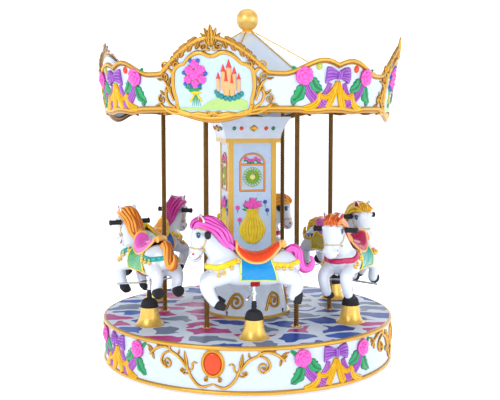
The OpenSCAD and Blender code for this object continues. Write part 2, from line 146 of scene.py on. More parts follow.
class Graph:
    """One material's node tree."""

    def __init__(self, name: str) -> None:
        """Starts an empty material of that name."""
        self.material = bpy.data.materials.new(name)
        self.material.use_nodes = True
        self.tree = self.material.node_tree
        self.tree.nodes.clear()

    def node(self, kind: str, settings: dict | None = None, inputs: dict | None = None) -> bpy.types.Node:
        """Adds any node.

        Args:
            kind: The node's type.
            settings: Its properties; "stops" holds a ramp's (place, colour) pairs.
            inputs: Values or links for its sockets, by name or number.

        Returns:
            The new node.
        """
        made = self.tree.nodes.new(kind)
        for key, setting in (settings or {}).items():
            if key == "stops":
                self._stops(made.color_ramp, setting)
            else:
                setattr(made, key, setting)
        for key, value in (inputs or {}).items():
            if isinstance(value, Socket):
                self.tree.links.new(value.out, made.inputs[key])
            else:
                made.inputs[key].default_value = value
        return made

    def value(
        self, kind: str, settings: dict | None = None, inputs: dict | None = None, out: str | int = 0
    ) -> Socket:
        """Adds a node and returns one of its outputs."""
        return Socket(self, self.node(kind, settings, inputs).outputs[out])

    @staticmethod
    def _stops(ramp: bpy.types.ColorRamp, stops: Sequence[tuple[float, Colour]]) -> None:
        """Sets a colour ramp's stops."""
        while len(ramp.elements) < len(stops):
            ramp.elements.new(1.0)
        for element, (place, colour) in zip(ramp.elements, stops):
            element.position = place
            element.color = (*colour, 1.0)

    def blend(self, factor: "Socket | float", low: "Socket | Colour", high: "Socket | Colour") -> Socket:
        """Mixes two colours."""
        inputs = {0: factor}
        for slot, colour in ((6, low), (7, high)):
            inputs[slot] = colour if isinstance(colour, Socket) else (*colour, 1.0)
        return self.value("ShaderNodeMix", {"data_type": "RGBA"}, inputs, 2)

    def place(self) -> Socket:
        """The point in the object's own frame."""
        return self.value("ShaderNodeTexCoord", out="Object")

    def mottle(self, scale: float, detail: float = 3.0, at: Socket | None = None) -> Socket:
        """Soft noise of a given scale, about 0 to 1."""
        inputs = {"Vector": at or self.place(), "Scale": scale, "Detail": detail}
        return self.value("ShaderNodeTexNoise", inputs=inputs)

    def bump(self, height: Socket, distance: float, strength: float = 1.0) -> Socket:
        """A bump of that height in metres."""
        return self.value(
            "ShaderNodeBump", inputs={"Height": height, "Distance": distance, "Strength": strength}
        )

    def close(self, inputs: dict) -> bpy.types.Material:
        """Ends the tree in one Principled shader.

        Args:
            inputs: The shader's values or links by socket name.

        Returns:
            The finished material.
        """
        shader = self.value("ShaderNodeBsdfPrincipled", inputs=inputs)
        self.node("ShaderNodeOutputMaterial", inputs={"Surface": shader})
        return self.material


@dataclass(frozen=True)
class Finish:
    """A coat of paint, gilding, rubber or metal, mottled at random, with painted shade in its marked hollows
    and creases.
    """

    name: str
    slot: str
    colour: Colour
    shade: Colour
    roughness: float = 0.28
    metallic: float = 0.0
    coat: float = 0.35
    mottling: float = 0.12
    mottle_scale: float = 9.0
    grain: float = 0.0003
    grain_scale: float = 260.0

    def build(self) -> bpy.types.Material:
        """Makes the material.

        Returns:
            A material whose painted shade marks and random mottled patches go towards the shade colour.
        """
        graph = Graph(self.name)
        # Painted shade read from the points, mixed below with random mottling.
        hollow = graph.value("ShaderNodeAttribute", {"attribute_name": PAINTED_SHADE}, out="Fac")
        cloud = graph.mottle(self.mottle_scale)
        mottle_plus_shade = (cloud - 0.5) * self.mottling * 2.0 + hollow
        mottle_and_shade = mottle_plus_shade.ramp(0.0, 1.0)
        fine = graph.mottle(self.grain_scale, 2.0)
        return graph.close(
            {
                "Base Color": graph.blend(mottle_and_shade, self.colour, self.shade),
                "Roughness": cloud * 0.16 + (self.roughness - 0.08) + hollow * 0.15,
                "Metallic": self.metallic,
                "Coat Weight": self.coat,
                "Coat Roughness": 0.12,
                "Normal": graph.bump(fine, self.grain),
            }
        )


@dataclass(frozen=True)
class DeckPaint:
    """White deck paint with blue, pink and grey pebbles of colour."""

    name: str = "deck_paint"
    slot: str = "white_fibreglass"
    white: Colour = (0.68, 0.76, 0.86)
    colours: tuple[Colour, ...] = (
        (0.004, 0.06, 0.36), (0.48, 0.03, 0.24), (0.17, 0.22, 0.33), (0.006, 0.10, 0.46)
    )
    cell: float = 3.1
    stretch: float = 1.6

    def build(self) -> bpy.types.Material:
        """Makes the material.

        Returns:
            A material whose pebbles lie in drawn-out cells, one colour to a cell.
        """
        graph = Graph(self.name)
        place = graph.place()
        wobble = graph.value(
            "ShaderNodeTexNoise", inputs={"Vector": place, "Scale": 5.5, "Detail": 1.5}, out="Color"
        )
        shift = graph.value("ShaderNodeVectorMath", {"operation": "SCALE"}, {0: wobble, "Scale": 0.24})
        bent = graph.value("ShaderNodeVectorMath", {"operation": "ADD"}, {0: place, 1: shift})
        scaled = graph.value("ShaderNodeMapping", inputs={"Vector": bent, "Scale": (1.0, self.stretch, 0.0)})
        settings = {"voronoi_dimensions": "2D"}
        inputs = {"Vector": scaled, "Scale": self.cell, "Randomness": 0.85}
        edge = graph.value("ShaderNodeTexVoronoi", {**settings, "feature": "DISTANCE_TO_EDGE"}, inputs)
        cell = graph.value("ShaderNodeTexVoronoi", settings, inputs, out="Color")
        count = len(self.colours)
        stops = [(i / count, colour) for i, colour in enumerate(self.colours)]
        pick = graph.value("ShaderNodeSeparateColor", inputs={0: cell})
        paint = graph.value("ShaderNodeValToRGB", {"stops": stops}, {0: pick})
        paint.out.node.color_ramp.interpolation = "CONSTANT"
        mask = edge.ramp(0.125, 0.150)
        cloud = graph.mottle(30.0)
        white = graph.blend(cloud, self.white, (0.58, 0.66, 0.78))
        scuff = graph.mottle(3.0, 6.0).ramp(0.35, 0.75)
        return graph.close(
            {
                "Base Color": graph.blend(mask, white, paint),
                "Roughness": scuff * 0.22 + 0.34,
                "Coat Weight": 0.03,
                "Specular IOR Level": 0.16,
                "Normal": graph.bump(mask * 0.6 + cloud * 0.4, 0.0006),
            }
        )


class Paint(Enum):
    """Every finish on the ride."""

    WHITE = Finish(
        "white_gelcoat", "white_fibreglass", (0.60, 0.68, 0.79), (0.40, 0.50, 0.67), 0.26, mottling=0.2,
        mottle_scale=4.0
    )
    COAT = Finish(
        "horse_coat", "horse_fibreglass", (0.67, 0.72, 0.80), (0.34, 0.42, 0.58), 0.24, coat=0.5,
        mottling=0.16, mottle_scale=6.0
    )
    GOLD = Finish(
        "gilding", "gold_fibreglass", (0.66, 0.38, 0.06), (0.20, 0.07, 0.01), 0.30, 0.55, 0.3, 0.16, 30.0,
        0.0006, 120.0
    )
    BRIGHT_GOLD = Finish(
        "bell_gilding", "gold_fibreglass", (0.88, 0.58, 0.13), (0.52, 0.25, 0.02), 0.27, 0.45, 0.4, 0.42,
        13.0, 0.001, 60.0
    )
    BALL_GOLD = Finish(
        "ball_gilding", "gold_paint", (0.90, 0.57, 0.16), (0.72, 0.38, 0.06), 0.32, 0.35, 0.4, 0.3, 14.0,
        0.0008, 70.0
    )
    # Dark gold, also used for the strips of painted shade along the fascia.
    DARK_GOLD = Finish(
        "old_gilding", "gold_fibreglass", (0.50, 0.26, 0.05), (0.22, 0.08, 0.01), 0.38, 0.4, 0.2, 0.3, 12.0
    )
    BRASS = Finish(
        "twisted_brass", "brass_pole", (0.60, 0.38, 0.12), (0.09, 0.03, 0.006), 0.27, 0.8, 0.2, 0.12, 20.0
    )
    STRIP = Finish(
        "strip_gilding", "gold_paint", (0.66, 0.40, 0.07), (0.40, 0.20, 0.02), 0.34, 0.4, 0.3, 0.2, 16.0
    )
    ROSE = Finish(
        "rose_enamel", "white_fibreglass", (0.86, 0.12, 0.54), (0.40, 0.01, 0.24), 0.3, mottling=0.1
    )
    PURPLE = Finish(
        "bow_enamel", "white_fibreglass", (0.46, 0.17, 0.66), (0.17, 0.04, 0.33), 0.28, mottling=0.1
    )
    MAUVE = Finish(
        "drape_enamel", "white_fibreglass", (0.50, 0.15, 0.60), (0.20, 0.03, 0.28), 0.3, mottling=0.1
    )
    YELLOW = Finish(
        "ribbon_enamel", "white_fibreglass", (0.90, 0.58, 0.02), (0.52, 0.24, 0.0), 0.3, mottling=0.12
    )
    LEAF = Finish("leaf_enamel", "white_fibreglass", (0.0, 0.36, 0.12), (0.0, 0.12, 0.05), 0.3, mottling=0.14)
    GEM_RED = Finish(
        "red_gem", "red_gem", (0.68, 0.02, 0.005), (0.30, 0.0, 0.0), 0.12, coat=1.0, mottling=0.1
    )
    GEM_GREEN = Finish("green_gem", "white_fibreglass", (0.0, 0.22, 0.10), (0.0, 0.08, 0.04), 0.12, coat=1.0)
    GEM_LIME = Finish("lime_gem", "white_fibreglass", (0.44, 0.50, 0.03), (0.20, 0.22, 0.0), 0.12, coat=1.0)
    RUBBER = Finish(
        "black_rubber", "black_rubber", (0.006, 0.006, 0.007), (0.018, 0.018, 0.02), 0.5, coat=0.0,
        mottling=0.3, grain=0.0008
    )
    STEEL = Finish(
        "polished_steel", "polished_steel", (0.60, 0.65, 0.71), (0.20, 0.23, 0.28), 0.2, 0.95, 0.0, 0.2, 20.0,
        0.0002
    )
    ZINC = Finish(
        "galvanised_steel", "galvanised_steel", (0.48, 0.50, 0.53), (0.30, 0.31, 0.34), 0.42, 0.85, 0.0, 0.5,
        26.0
    )
    FRAME = Finish(
        "frame_enamel", "painted_steel", (0.13, 0.14, 0.16), (0.07, 0.06, 0.06), 0.45, 0.1, 0.1, 0.3, 8.0
    )
    MOTOR = Finish("motor_enamel", "blue_enamel", (0.04, 0.12, 0.30), (0.02, 0.05, 0.14), 0.35)
    BOX = Finish("box_enamel", "grey_enamel", (0.50, 0.51, 0.50), (0.35, 0.36, 0.35), 0.45)
    BRONZE = Finish("bush_bronze", "bronze", (0.46, 0.29, 0.12), (0.25, 0.14, 0.05), 0.35, 0.8, 0.0)
    RED = Finish("red_enamel", "red_gem", (0.48, 0.01, 0.01), (0.2, 0.0, 0.0), 0.3)
    MOUTH = Finish("mouth_enamel", "horse_fibreglass", (0.50, 0.03, 0.10), (0.25, 0.01, 0.04), 0.35)
    EAR_RED = Finish("ear_enamel", "horse_fibreglass", (0.42, 0.01, 0.03), (0.2, 0.0, 0.01), 0.35)
    EYE = Finish("eye_enamel", "horse_fibreglass", (0.01, 0.03, 0.08), (0.0, 0.01, 0.03), 0.08, coat=1.0)
    EYE_BLUE = Finish(
        "iris_enamel", "horse_fibreglass", (0.06, 0.22, 0.40), (0.02, 0.08, 0.18), 0.1, coat=1.0
    )
    BRIDLE = Finish("bridle_enamel", "horse_fibreglass", (0.62, 0.46, 0.19), (0.36, 0.22, 0.06), 0.35)
    TRIM_YELLOW = Finish("pale_trim", "horse_fibreglass", (0.82, 0.78, 0.26), (0.55, 0.48, 0.08), 0.32)
    PALE_BLUE = Finish(
        "panel_blue", "white_fibreglass", (0.50, 0.63, 0.80), (0.38, 0.51, 0.71), 0.28, mottling=0.3,
        mottle_scale=5.0
    )
    TAN = Finish("castle_tan", "white_fibreglass", (0.78, 0.42, 0.18), (0.5, 0.22, 0.08), 0.35)
    SCARLET = Finish("castle_red", "white_fibreglass", (0.66, 0.04, 0.03), (0.35, 0.01, 0.01), 0.35)
    TEAL = Finish("tree_teal", "white_fibreglass", (0.02, 0.25, 0.28), (0.0, 0.12, 0.16), 0.35)
    GRASS = Finish(
        "hill_green", "white_fibreglass", (0.42, 0.60, 0.20), (0.16, 0.36, 0.10), 0.35, mottling=0.5,
        mottle_scale=25.0
    )
    BLUE = Finish("petal_blue", "white_fibreglass", (0.05, 0.12, 0.48), (0.02, 0.05, 0.25), 0.35)
    URN = Finish(
        "urn_yellow", "white_fibreglass", (0.86, 0.66, 0.03), (0.56, 0.34, 0.0), 0.3, mottling=0.5,
        mottle_scale=22.0
    )
    ORANGE = Finish(
        "window_orange", "white_fibreglass", (0.72, 0.32, 0.10), (0.42, 0.13, 0.03), 0.35, mottling=0.4,
        mottle_scale=30.0
    )
    LIME = Finish("sunburst_lime", "white_fibreglass", (0.34, 0.54, 0.06), (0.12, 0.30, 0.04), 0.35)
    DECK = DeckPaint()

    @property
    def material(self) -> bpy.types.Material:
        """The finish's material, made once."""
        return material_of(self)


def material_of(finish: "Finish | Paint") -> bpy.types.Material:
    """The material of a finish, made once."""
    coat = finish.value if isinstance(finish, Paint) else finish
    return bpy.data.materials.get(coat.name) or coat.build()


# --------------------------------------------------------------------------- mesh kit


def smooth_path(points: Sequence[Sequence[float]], per: int = 8, closed: bool = False) -> list[Vector]:
    """Runs a Catmull-Rom curve through points.

    Args:
        points: The points, in two or three dimensions.
        per: Steps between two points.
        closed: Whether the curve joins its own start.

    Returns:
        Points along the curve, in three dimensions.
    """
    ends = [Vector(p).to_3d() for p in points]
    count = len(ends)
    spans = count if closed else count - 1

    def at(i: int) -> Vector:
        return ends[i % count] if closed else ends[min(max(i, 0), count - 1)]

    path = []
    for i in range(spans):
        a, b, c, d = (at(i + k) for k in (-1, 0, 1, 2))
        for step in range(per):
            t = step / per
            path.append(
                0.5 * (
                    2 * b + (c - a) * t + (2 * a - 5 * b + 4 * c - d) * t * t + (3 * b - a - 3 * c + d) * t**3
                )
            )
    return path if closed else [*path, ends[-1]]


def volute(
    centre: Sequence[float], radius: float, start: float, turns: float, end: float = 0.18
) -> list[Vector]:
    """A spiral that winds into a centre.

    Args:
        centre: The middle of the spiral.
        radius: Its radius where it starts.
        start: The angle where it starts, in degrees.
        turns: Turns, negative for clockwise.
        end: The last radius as a share of the first.

    Returns:
        Points from the outside in.
    """
    count = int(22 * abs(turns)) + 2
    middle = Vector(centre).to_3d()
    path = []
    for i in range(count + 1):
        t = i / count
        angle = math.radians(start) + TAU * turns * t
        reach = radius * (1 - t * (1 - end))
        path.append(middle + Vector((reach * math.cos(angle), reach * math.sin(angle), 0)))
    return path


def taper(width: float, start: float = 0.25, end: float = 0.25, power: float = 0.6) -> Profile:
    """A width that starts and ends narrow.

    Args:
        width: The full width.
        start: The share of it at the start.
        end: The share of it at the end.
        power: Less than 1 keeps the middle full.

    Returns:
        A function of the place from 0 to 1.
    """

    def at(t: float) -> float:
        rise = math.sin(math.pi * min(max(t, 0.0), 1.0)) ** power
        floor = start * (1 - t) + end * t
        return width * (floor + (1 - floor) * rise)

    return at


class Mould:
    """The points, faces and painted shade marks of a mesh in the making."""

    def __init__(self) -> None:
        """Starts empty."""
        self.points: list[Vector] = []
        self.hollow: list[float] = []
        self.faces: list[tuple[int, ...]] = []

    def grid(
        self, rows: Sequence[Sequence[Vector]], hollow: Sequence[Sequence[float]] | None = None,
        loop: bool = False
    ) -> "Mould":
        """Adds rings of points as one closed skin.

        Args:
            rows: Rings of equal length, each joined to itself.
            hollow: How much painted shade each point gets, from 0 to 1.
            loop: Whether the last ring joins the first; otherwise both ends are capped.

        Returns:
            This mould.
        """
        base = len(self.points)
        width = len(rows[0])
        for i, row in enumerate(rows):
            self.points.extend(row)
            self.hollow.extend(hollow[i] if hollow else [0.0] * width)
        for i in range(len(rows) if loop else len(rows) - 1):
            for j in range(width):
                here, there = base + i * width, base + (i + 1) % len(rows) * width
                k = (j + 1) % width
                self.faces.append((here + j, here + k, there + k, there + j))
        if not loop:
            self.faces.append(tuple(base + j for j in reversed(range(width))))
            self.faces.append(tuple(base + (len(rows) - 1) * width + j for j in range(width)))
        return self

    def add(self, *others: "Mould") -> "Mould":
        """Takes in other moulds and returns this one."""
        for other in others:
            base = len(self.points)
            self.points.extend(other.points)
            self.hollow.extend(other.hollow)
            self.faces.extend(tuple(base + i for i in face) for face in other.faces)
        return self

    def mapped(self, mapping: Mapping) -> "Mould":
        """A copy with every point sent through a mapping."""
        copy = Mould()
        copy.points = [mapping(p) for p in self.points]
        copy.hollow = list(self.hollow)
        copy.faces = list(self.faces)
        return copy

    def mesh(self, name: str) -> bpy.types.Mesh:
        """Makes the mesh, smooth and facing outwards.

        Args:
            name: The mesh's name.

        Returns:
            The mesh with its painted shade marks as an attribute.
        """
        mesh = bpy.data.meshes.new(name)
        mesh.from_pydata([tuple(p) for p in self.points], [], self.faces)
        marks = mesh.attributes.new(PAINTED_SHADE, "FLOAT", "POINT")
        marks.data.foreach_set("value", [min(max(h, 0.0), 1.0) for h in self.hollow])
        work = bmesh.new()
        work.from_mesh(mesh)
        bmesh.ops.remove_doubles(work, verts=work.verts, dist=1e-6)
        bmesh.ops.recalc_face_normals(work, faces=work.faces)
        work.to_mesh(mesh)
        work.free()
        mesh.polygons.foreach_set("use_smooth", [True] * len(mesh.polygons))
        return mesh


def even(size: float) -> Profile:
    """The same size all along, from millimetres."""
    return lambda t: size * MM


def dome(a: float, b: float, c: float) -> tuple[Vector, Vector, Vector]:
    """Three half axes that lie along X, Y and Z."""
    return Vector((a, 0, 0)), Vector((0, b, 0)), Vector((0, 0, c))


def stand(name: str, data: bpy.types.ID) -> bpy.types.Object:
    """Puts a new object into the scene that holds a mesh, a light or a camera."""
    made = bpy.data.objects.new(name, data)
    bpy.context.scene.collection.objects.link(made)
    return made


def settle(
    name: str, shape: "bpy.types.Mesh | Mould", paint: "Paint | Finish", replaces: Sequence[str] = (),
    body: str = "turntable", sharp: float = 40.0
) -> bpy.types.Object:
    """Turns a shape into a finished piece on a body.

    Args:
        name: The piece's name.
        shape: Its mesh or mould, in place.
        paint: Its finish.
        replaces: CAD nodes that it stands for.
        body: The body that it rides on, or nothing for a piece that spans two bodies and is left unattached.
        sharp: Edges steeper than this many degrees stay crisp.

    Returns:
        The piece.
    """
    mesh = shape.mesh(name) if isinstance(shape, Mould) else shape
    piece = stand(name, mesh)
    mesh.materials.clear()
    mesh.materials.append(material_of(paint))
    mesh.set_sharp_from_angle(angle=math.radians(sharp))
    if body:
        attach(piece, body)
    if replaces:
        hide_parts(*replaces)
    LOG.info("%-28s %6d faces on %s", name, len(mesh.polygons), body or "two bodies")
    return piece


def settle_parts(group: str, parts: "dict[Paint, Mould]", spread: Callable[["Mould"], "Mould"]) -> None:
    """Settles a moulding as one piece for each finish, put on every panel by a rule."""
    for paint, flat in parts.items():
        settle(f"{group}_{paint.value.name}", spread(flat), paint)


def stroke(
    path: Sequence[Vector], width: Profile, height: Profile, grooves: int = 0, depth: float = 0.35,
    sides: int = 10
) -> Mould:
    """A raised stroke on a flat panel, rounded on its face.

    Args:
        path: Its middle line; the panel's face is at z = 0.
        width: Half its width along the path, from 0 to 1.
        height: Its height along the path.
        grooves: Furrows along it.
        depth: How deep a furrow cuts, as a share of the height.
        sides: Steps across its face.

    Returns:
        The stroke as a closed skin.
    """
    rows: list[list[Vector]] = []
    marks: list[list[float]] = []
    last = len(path) - 1
    for i, spot in enumerate(path):
        ahead = path[min(i + 1, last)] - path[max(i - 1, 0)]
        ahead.z = 0
        ahead = ahead.normalized() if ahead.length > 1e-9 else Vector((1, 0, 0))
        across = Vector((-ahead.y, ahead.x, 0))
        t = i / last
        row, mark = [], []
        for j in range(sides + 1):
            s = 2 * j / sides - 1
            crown = math.sqrt(max(0.0, 1 - s * s))
            furrow = (0.5 - 0.5 * math.cos(math.pi * (grooves + 1) * (s + 1))) if grooves else 1.0
            cut = depth * (1 - furrow) * crown if grooves else 0.0
            row.append(spot + across * (s * width(t)) + Vector((0, 0, height(t) * (crown - cut))))
            # Painted shade on the rounded sides and in the furrows; the two underside points, where the
            # stroke meets the panel, are fully shaded.
            mark.append(max((1 - crown) ** 1.5, cut / max(depth, 0.01) * 0.8 if grooves else 0.0))
        row.append(spot + across * width(t) * 0.9 - Vector((0, 0, 1.5 * MM)))
        row.append(spot - across * width(t) * 0.9 - Vector((0, 0, 1.5 * MM)))
        marks.append([*mark, 1.0, 1.0])
        rows.append(row)
    return Mould().grid(rows, marks)


def band(reaches: Sequence[tuple[float, float, float]], rise: float, seat: float = -1.0 * MM) -> Mould:
    """A flat painted shape on a panel.

    Args:
        reaches: (x, lower edge, upper edge) from left to right.
        rise: How far its face stands off the panel.
        seat: Where its back lies.

    Returns:
        The shape as a thin closed skin.
    """
    rows = []
    for x, low, high in reaches:
        rows.append(
            [Vector((x, low, rise)), Vector((x, high, rise)), Vector((x, high, seat)), Vector((x, low, seat))]
        )
    return Mould().grid(rows)


def pebble(
    centre: Vector, axes: Sequence[Vector], rings: int = 7, sides: int = 12, dark: float = 0.9
) -> Mould:
    """A rounded lump.

    Args:
        centre: Its middle.
        axes: Its three half axes; the third points out of the surface.
        rings: Rings from end to end.
        sides: Steps round each ring.
        dark: How much painted shade its foot gets.

    Returns:
        The lump as a closed skin.
    """
    rows, marks = [], []
    for i in range(rings + 1):
        angle = math.pi * (0.02 + 0.96 * i / rings)
        out, up = math.sin(angle), math.cos(angle)
        turn = [TAU * j / sides for j in range(sides)]
        rows.append(
            [
                centre + axes[0] * (out * math.cos(t)) + axes[1] * (out * math.sin(t)) + axes[2] * up
                for t in turn
            ]
        )
        # Painted shade towards the foot, where the lump meets the surface.
        marks.append([dark * max(0.0, 0.55 - up) ** 1.2] * sides)
    return Mould().grid(rows, marks)


def tube(
    path: Sequence[Vector], radius: Profile, sides: int = 12, flat: float = 1.0, closed: bool = False,
    up: Vector = Vector((0, 0, 1)), ribs: int = 0, side_shade: float = 0.0
) -> Mould:
    """A round or oval bar along a path in space.

    Args:
        path: Its middle line.
        radius: Its radius along the path, from 0 to 1.
        sides: Steps round it.
        flat: Its thickness across the up direction as a share of the radius.
        closed: Whether the path joins its own start.
        up: A direction that its flat side keeps to.
        ribs: Strands that run along it.
        side_shade: How much painted shade its two long sides get, for the creases between strands.

    Returns:
        The bar as a closed skin.
    """
    rows, marks = [], []
    count = len(path)
    for i, spot in enumerate(path):
        nxt = path[(i + 1) % count] if closed else path[min(i + 1, count - 1)]
        prev = path[i - 1] if closed or i else path[0]
        ahead = (nxt - prev).normalized()
        side = ahead.cross(up)
        side = side.normalized() if side.length > 1e-4 else ahead.orthogonal().normalized()
        over = side.cross(ahead).normalized()
        r = radius(i / max(count - 1, 1))
        row, mark = [], []
        for j in range(sides):
            angle = TAU * j / sides
            swell = 1 + 0.12 * math.cos(ribs * angle) if ribs else 1.0
            row.append(
                spot + side * (r * swell * math.cos(angle)) + over * (r * swell * flat * math.sin(angle))
            )
            # Painted shade: in the grooves between ribs, else on the two long sides.
            mark.append(0.4 - 0.4 * math.cos(ribs * angle) if ribs else side_shade * math.cos(angle) ** 4)
        rows.append(row)
        marks.append(mark)
    return Mould().grid(rows, marks, loop=closed)


def lathe(
    profile: Sequence[tuple[float, float]], sides: int = 96, centre: Vector = Vector(),
    marks: Sequence[float] | None = None
) -> Mould:
    """Spins a closed outline of (radius, height) about an upright axis.

    Args:
        profile: The outline, all the way round.
        sides: Steps round the axis.
        centre: The foot of the axis.
        marks: A painted shade mark for each outline point.

    Returns:
        The spun solid.
    """
    rows = []
    for i in range(sides):
        angle = TAU * i / sides
        out = Vector((math.sin(angle), -math.cos(angle), 0))
        rows.append([centre + out * r + Vector((0, 0, z)) for r, z in profile])
    shades = [list(marks)] * sides if marks else None
    return Mould().grid(rows, shades, loop=True)


class GeoTree:
    """One Geometry Nodes tree with named inputs."""

    def __init__(self, name: str, inputs: dict[str, float | int]) -> None:
        """Starts a tree whose inputs hold those values."""
        self.tree = bpy.data.node_groups.new(name, "GeometryNodeTree")
        self.tree.interface.new_socket(name="Geometry", in_out="OUTPUT", socket_type="NodeSocketGeometry")
        for label, value in inputs.items():
            kind = "NodeSocketInt" if isinstance(value, int) else "NodeSocketFloat"
            self.tree.interface.new_socket(name=label, in_out="INPUT", socket_type=kind)
        self.source = self.tree.nodes.new("NodeGroupInput")
        self.inputs = inputs

    def node(self, kind: str, settings: dict | None = None, inputs: dict | None = None) -> bpy.types.Node:
        """Adds a node; an input may be a value or another node's output socket."""
        made = self.tree.nodes.new(kind)
        for key, setting in (settings or {}).items():
            setattr(made, key, setting)
        for key, value in (inputs or {}).items():
            if isinstance(value, bpy.types.NodeSocket):
                self.tree.links.new(value, made.inputs[key])
            else:
                made.inputs[key].default_value = value
        return made

    def given(self, label: str) -> bpy.types.NodeSocket:
        """The group input of that name."""
        return self.source.outputs[label]

    def product(
        self, value: bpy.types.NodeSocket, factor: "bpy.types.NodeSocket | float"
    ) -> bpy.types.NodeSocket:
        """Multiplies two numbers."""
        return self.node("ShaderNodeMath", {"operation": "MULTIPLY"}, {0: value, 1: factor}).outputs[0]

    def bake(self, name: str, geometry: bpy.types.NodeSocket, paint: Paint) -> bpy.types.Mesh:
        """Ends the tree, runs it and keeps the plain mesh.

        Args:
            name: The mesh's name.
            geometry: What the tree makes.
            paint: Its finish.

        Returns:
            The mesh, with no instances left.
        """
        real = self.node("GeometryNodeRealizeInstances", inputs={0: geometry})
        dressed = self.node(
            "GeometryNodeSetMaterial", inputs={"Geometry": real.outputs[0], "Material": paint.material}
        )
        end = self.tree.nodes.new("NodeGroupOutput")
        self.tree.links.new(dressed.outputs[0], end.inputs[0])
        holder = stand(name, bpy.data.meshes.new(name))
        modifier = holder.modifiers.new(name, "NODES")
        modifier.node_group = self.tree
        for item in self.tree.interface.items_tree:
            if item.in_out == "INPUT":
                modifier[item.identifier] = self.inputs[item.name]
        seen = holder.evaluated_get(bpy.context.evaluated_depsgraph_get())
        mesh = bpy.data.meshes.new_from_object(seen)
        bpy.data.objects.remove(holder)
        return mesh


# --------------------------------------------------------------------------- where panels lie


def polar(radius: float, angle: float, height: float) -> Vector:
    """A point by radius, angle in degrees from the front, turning towards +X, and height."""
    turn = math.radians(angle)
    return Vector((radius * math.sin(turn), -radius * math.cos(turn), height))


def bump_of(offset: float, half: float) -> float:
    """One at the middle of a hump and nothing beyond its half width, in degrees."""
    return (1 + math.cos(math.pi * offset / half)) / 2 if abs(offset) < half else 0.0


@dataclass
class Layout:
    """The ride's main sizes, in metres, and the surfaces that its panels lie on."""

    deck_z: float = 0.345
    skirt_r: float = 1.085
    skirt_low: float = 0.035
    skirt_high: float = 0.332
    seat_r: float = 0.840
    pole_r: float = 0.635
    canopy_z: float = 1.795
    frame_z: float = 1.870
    fascia_r: float = 1.035
    fascia_slope: float = 0.155
    fascia_wall: float = 0.008
    sunk: float = 0.005
    column_turn: float = 9.0
    medallion_at: float = -15.0
    bow_at: float = 30.0
    panels: int = 4

    def seat_angles(self) -> list[float]:
        """The six seats' angles."""
        return [60.0 * i for i in range(SEATS)]

    def medallions(self) -> list[float]:
        """The four medallions' angles."""
        return [self.medallion_at + 90.0 * i for i in range(self.panels)]

    def bows(self) -> list[float]:
        """The four garlands' angles."""
        return [self.bow_at + 90.0 * i for i in range(self.panels)]

    @staticmethod
    def nearest(angle: float, places: Iterable[float]) -> float:
        """The signed step from the nearest of some angles."""
        return min(((angle - p + 180) % 360 - 180 for p in places), key=abs)

    def fascia_radius(self, z: float) -> float:
        """The fascia's outer radius at a height."""
        return self.fascia_r + self.fascia_slope * (z - self.canopy_z)

    def fascia_top(self, angle: float) -> float:
        """The fascia's upper edge at an angle."""
        m = self.nearest(angle, self.medallions())
        b = self.nearest(angle, self.bows())
        lift = 246 + 180 * math.sqrt(bump_of(m, 19)) + 88 * bump_of(abs(b) - 6, 15) + 36 * bump_of(m, 24)
        return self.frame_z + lift * MM

    def fascia_bottom(self, angle: float) -> float:
        """The fascia's lower edge at an angle."""
        m = self.nearest(angle, self.medallions())
        b = self.nearest(angle, self.bows())
        return self.canopy_z + (66 - 66 * bump_of(m, 20) - 12 * bump_of(abs(b) - 9, 7)) * MM

    def on_skirt(self, angle: float, height: float) -> Mapping:
        """Wraps a flat panel, centred on a point, round the skirt."""

        def wrap(p: Vector) -> Vector:
            turn = angle + math.degrees(p.x / self.skirt_r)
            return polar(self.skirt_r + max(p.z, -self.sunk), turn, height + p.y)

        return wrap

    def on_fascia(self, angle: float, height: float) -> Mapping:
        """Wraps a flat panel, centred on a point, round the leaning fascia."""

        def wrap(p: Vector) -> Vector:
            z = height + p.y
            radius = self.fascia_radius(z)
            turn = angle + math.degrees(p.x / self.fascia_radius(height))
            proud = max(p.z, -self.sunk)
            return polar(radius + proud, turn, z - self.fascia_slope * proud)

        return wrap


def each(angles: Iterable[float], flat: Mould, wrap: Callable[[float], Mapping]) -> Mould:
    """Puts copies of one flat moulding on every panel."""
    return Mould().add(*(flat.mapped(wrap(angle)) for angle in angles))


def mirrored(moulds: Sequence[Mould]) -> list[Mould]:
    """The moulds and their left-right mirror images."""
    flip = [m.mapped(lambda p: Vector((-p.x, p.y, p.z))) for m in moulds]
    return [*moulds, *flip]


def mm(points: Sequence[tuple[float, float]]) -> list[Vector]:
    """Turns flat millimetres into metres."""
    return [Vector((x * MM, y * MM, 0)) for x, y in points]


def scroll(
    points: Sequence[tuple[float, float]], wide: float, high: float, start: float = 0.3, end: float = 0.3,
    grooves: int = 0
) -> Mould:
    """A tapering moulded stroke through flat millimetre points."""
    path = smooth_path(mm(points), 7)
    return stroke(path, taper(wide * MM / 2, start, end), taper(high * MM, 0.5, 0.5), grooves)


def curl(x: float, y: float, radius: float, start: float, turns: float, wide: float, high: float) -> Mould:
    """A moulded spiral round a flat millimetre point, with a boss in its eye."""
    path = volute((x * MM, y * MM), radius * MM, start, turns, 0.22)
    arm = stroke(path, lambda t: wide * MM / 2 * (1 - 0.45 * t), lambda t: high * MM * (1 - 0.2 * t))
    axes = dome(wide * MM * 0.42, wide * MM * 0.42, high * MM * 1.15)
    return arm.add(pebble(Vector((x * MM, y * MM, 0)), axes))


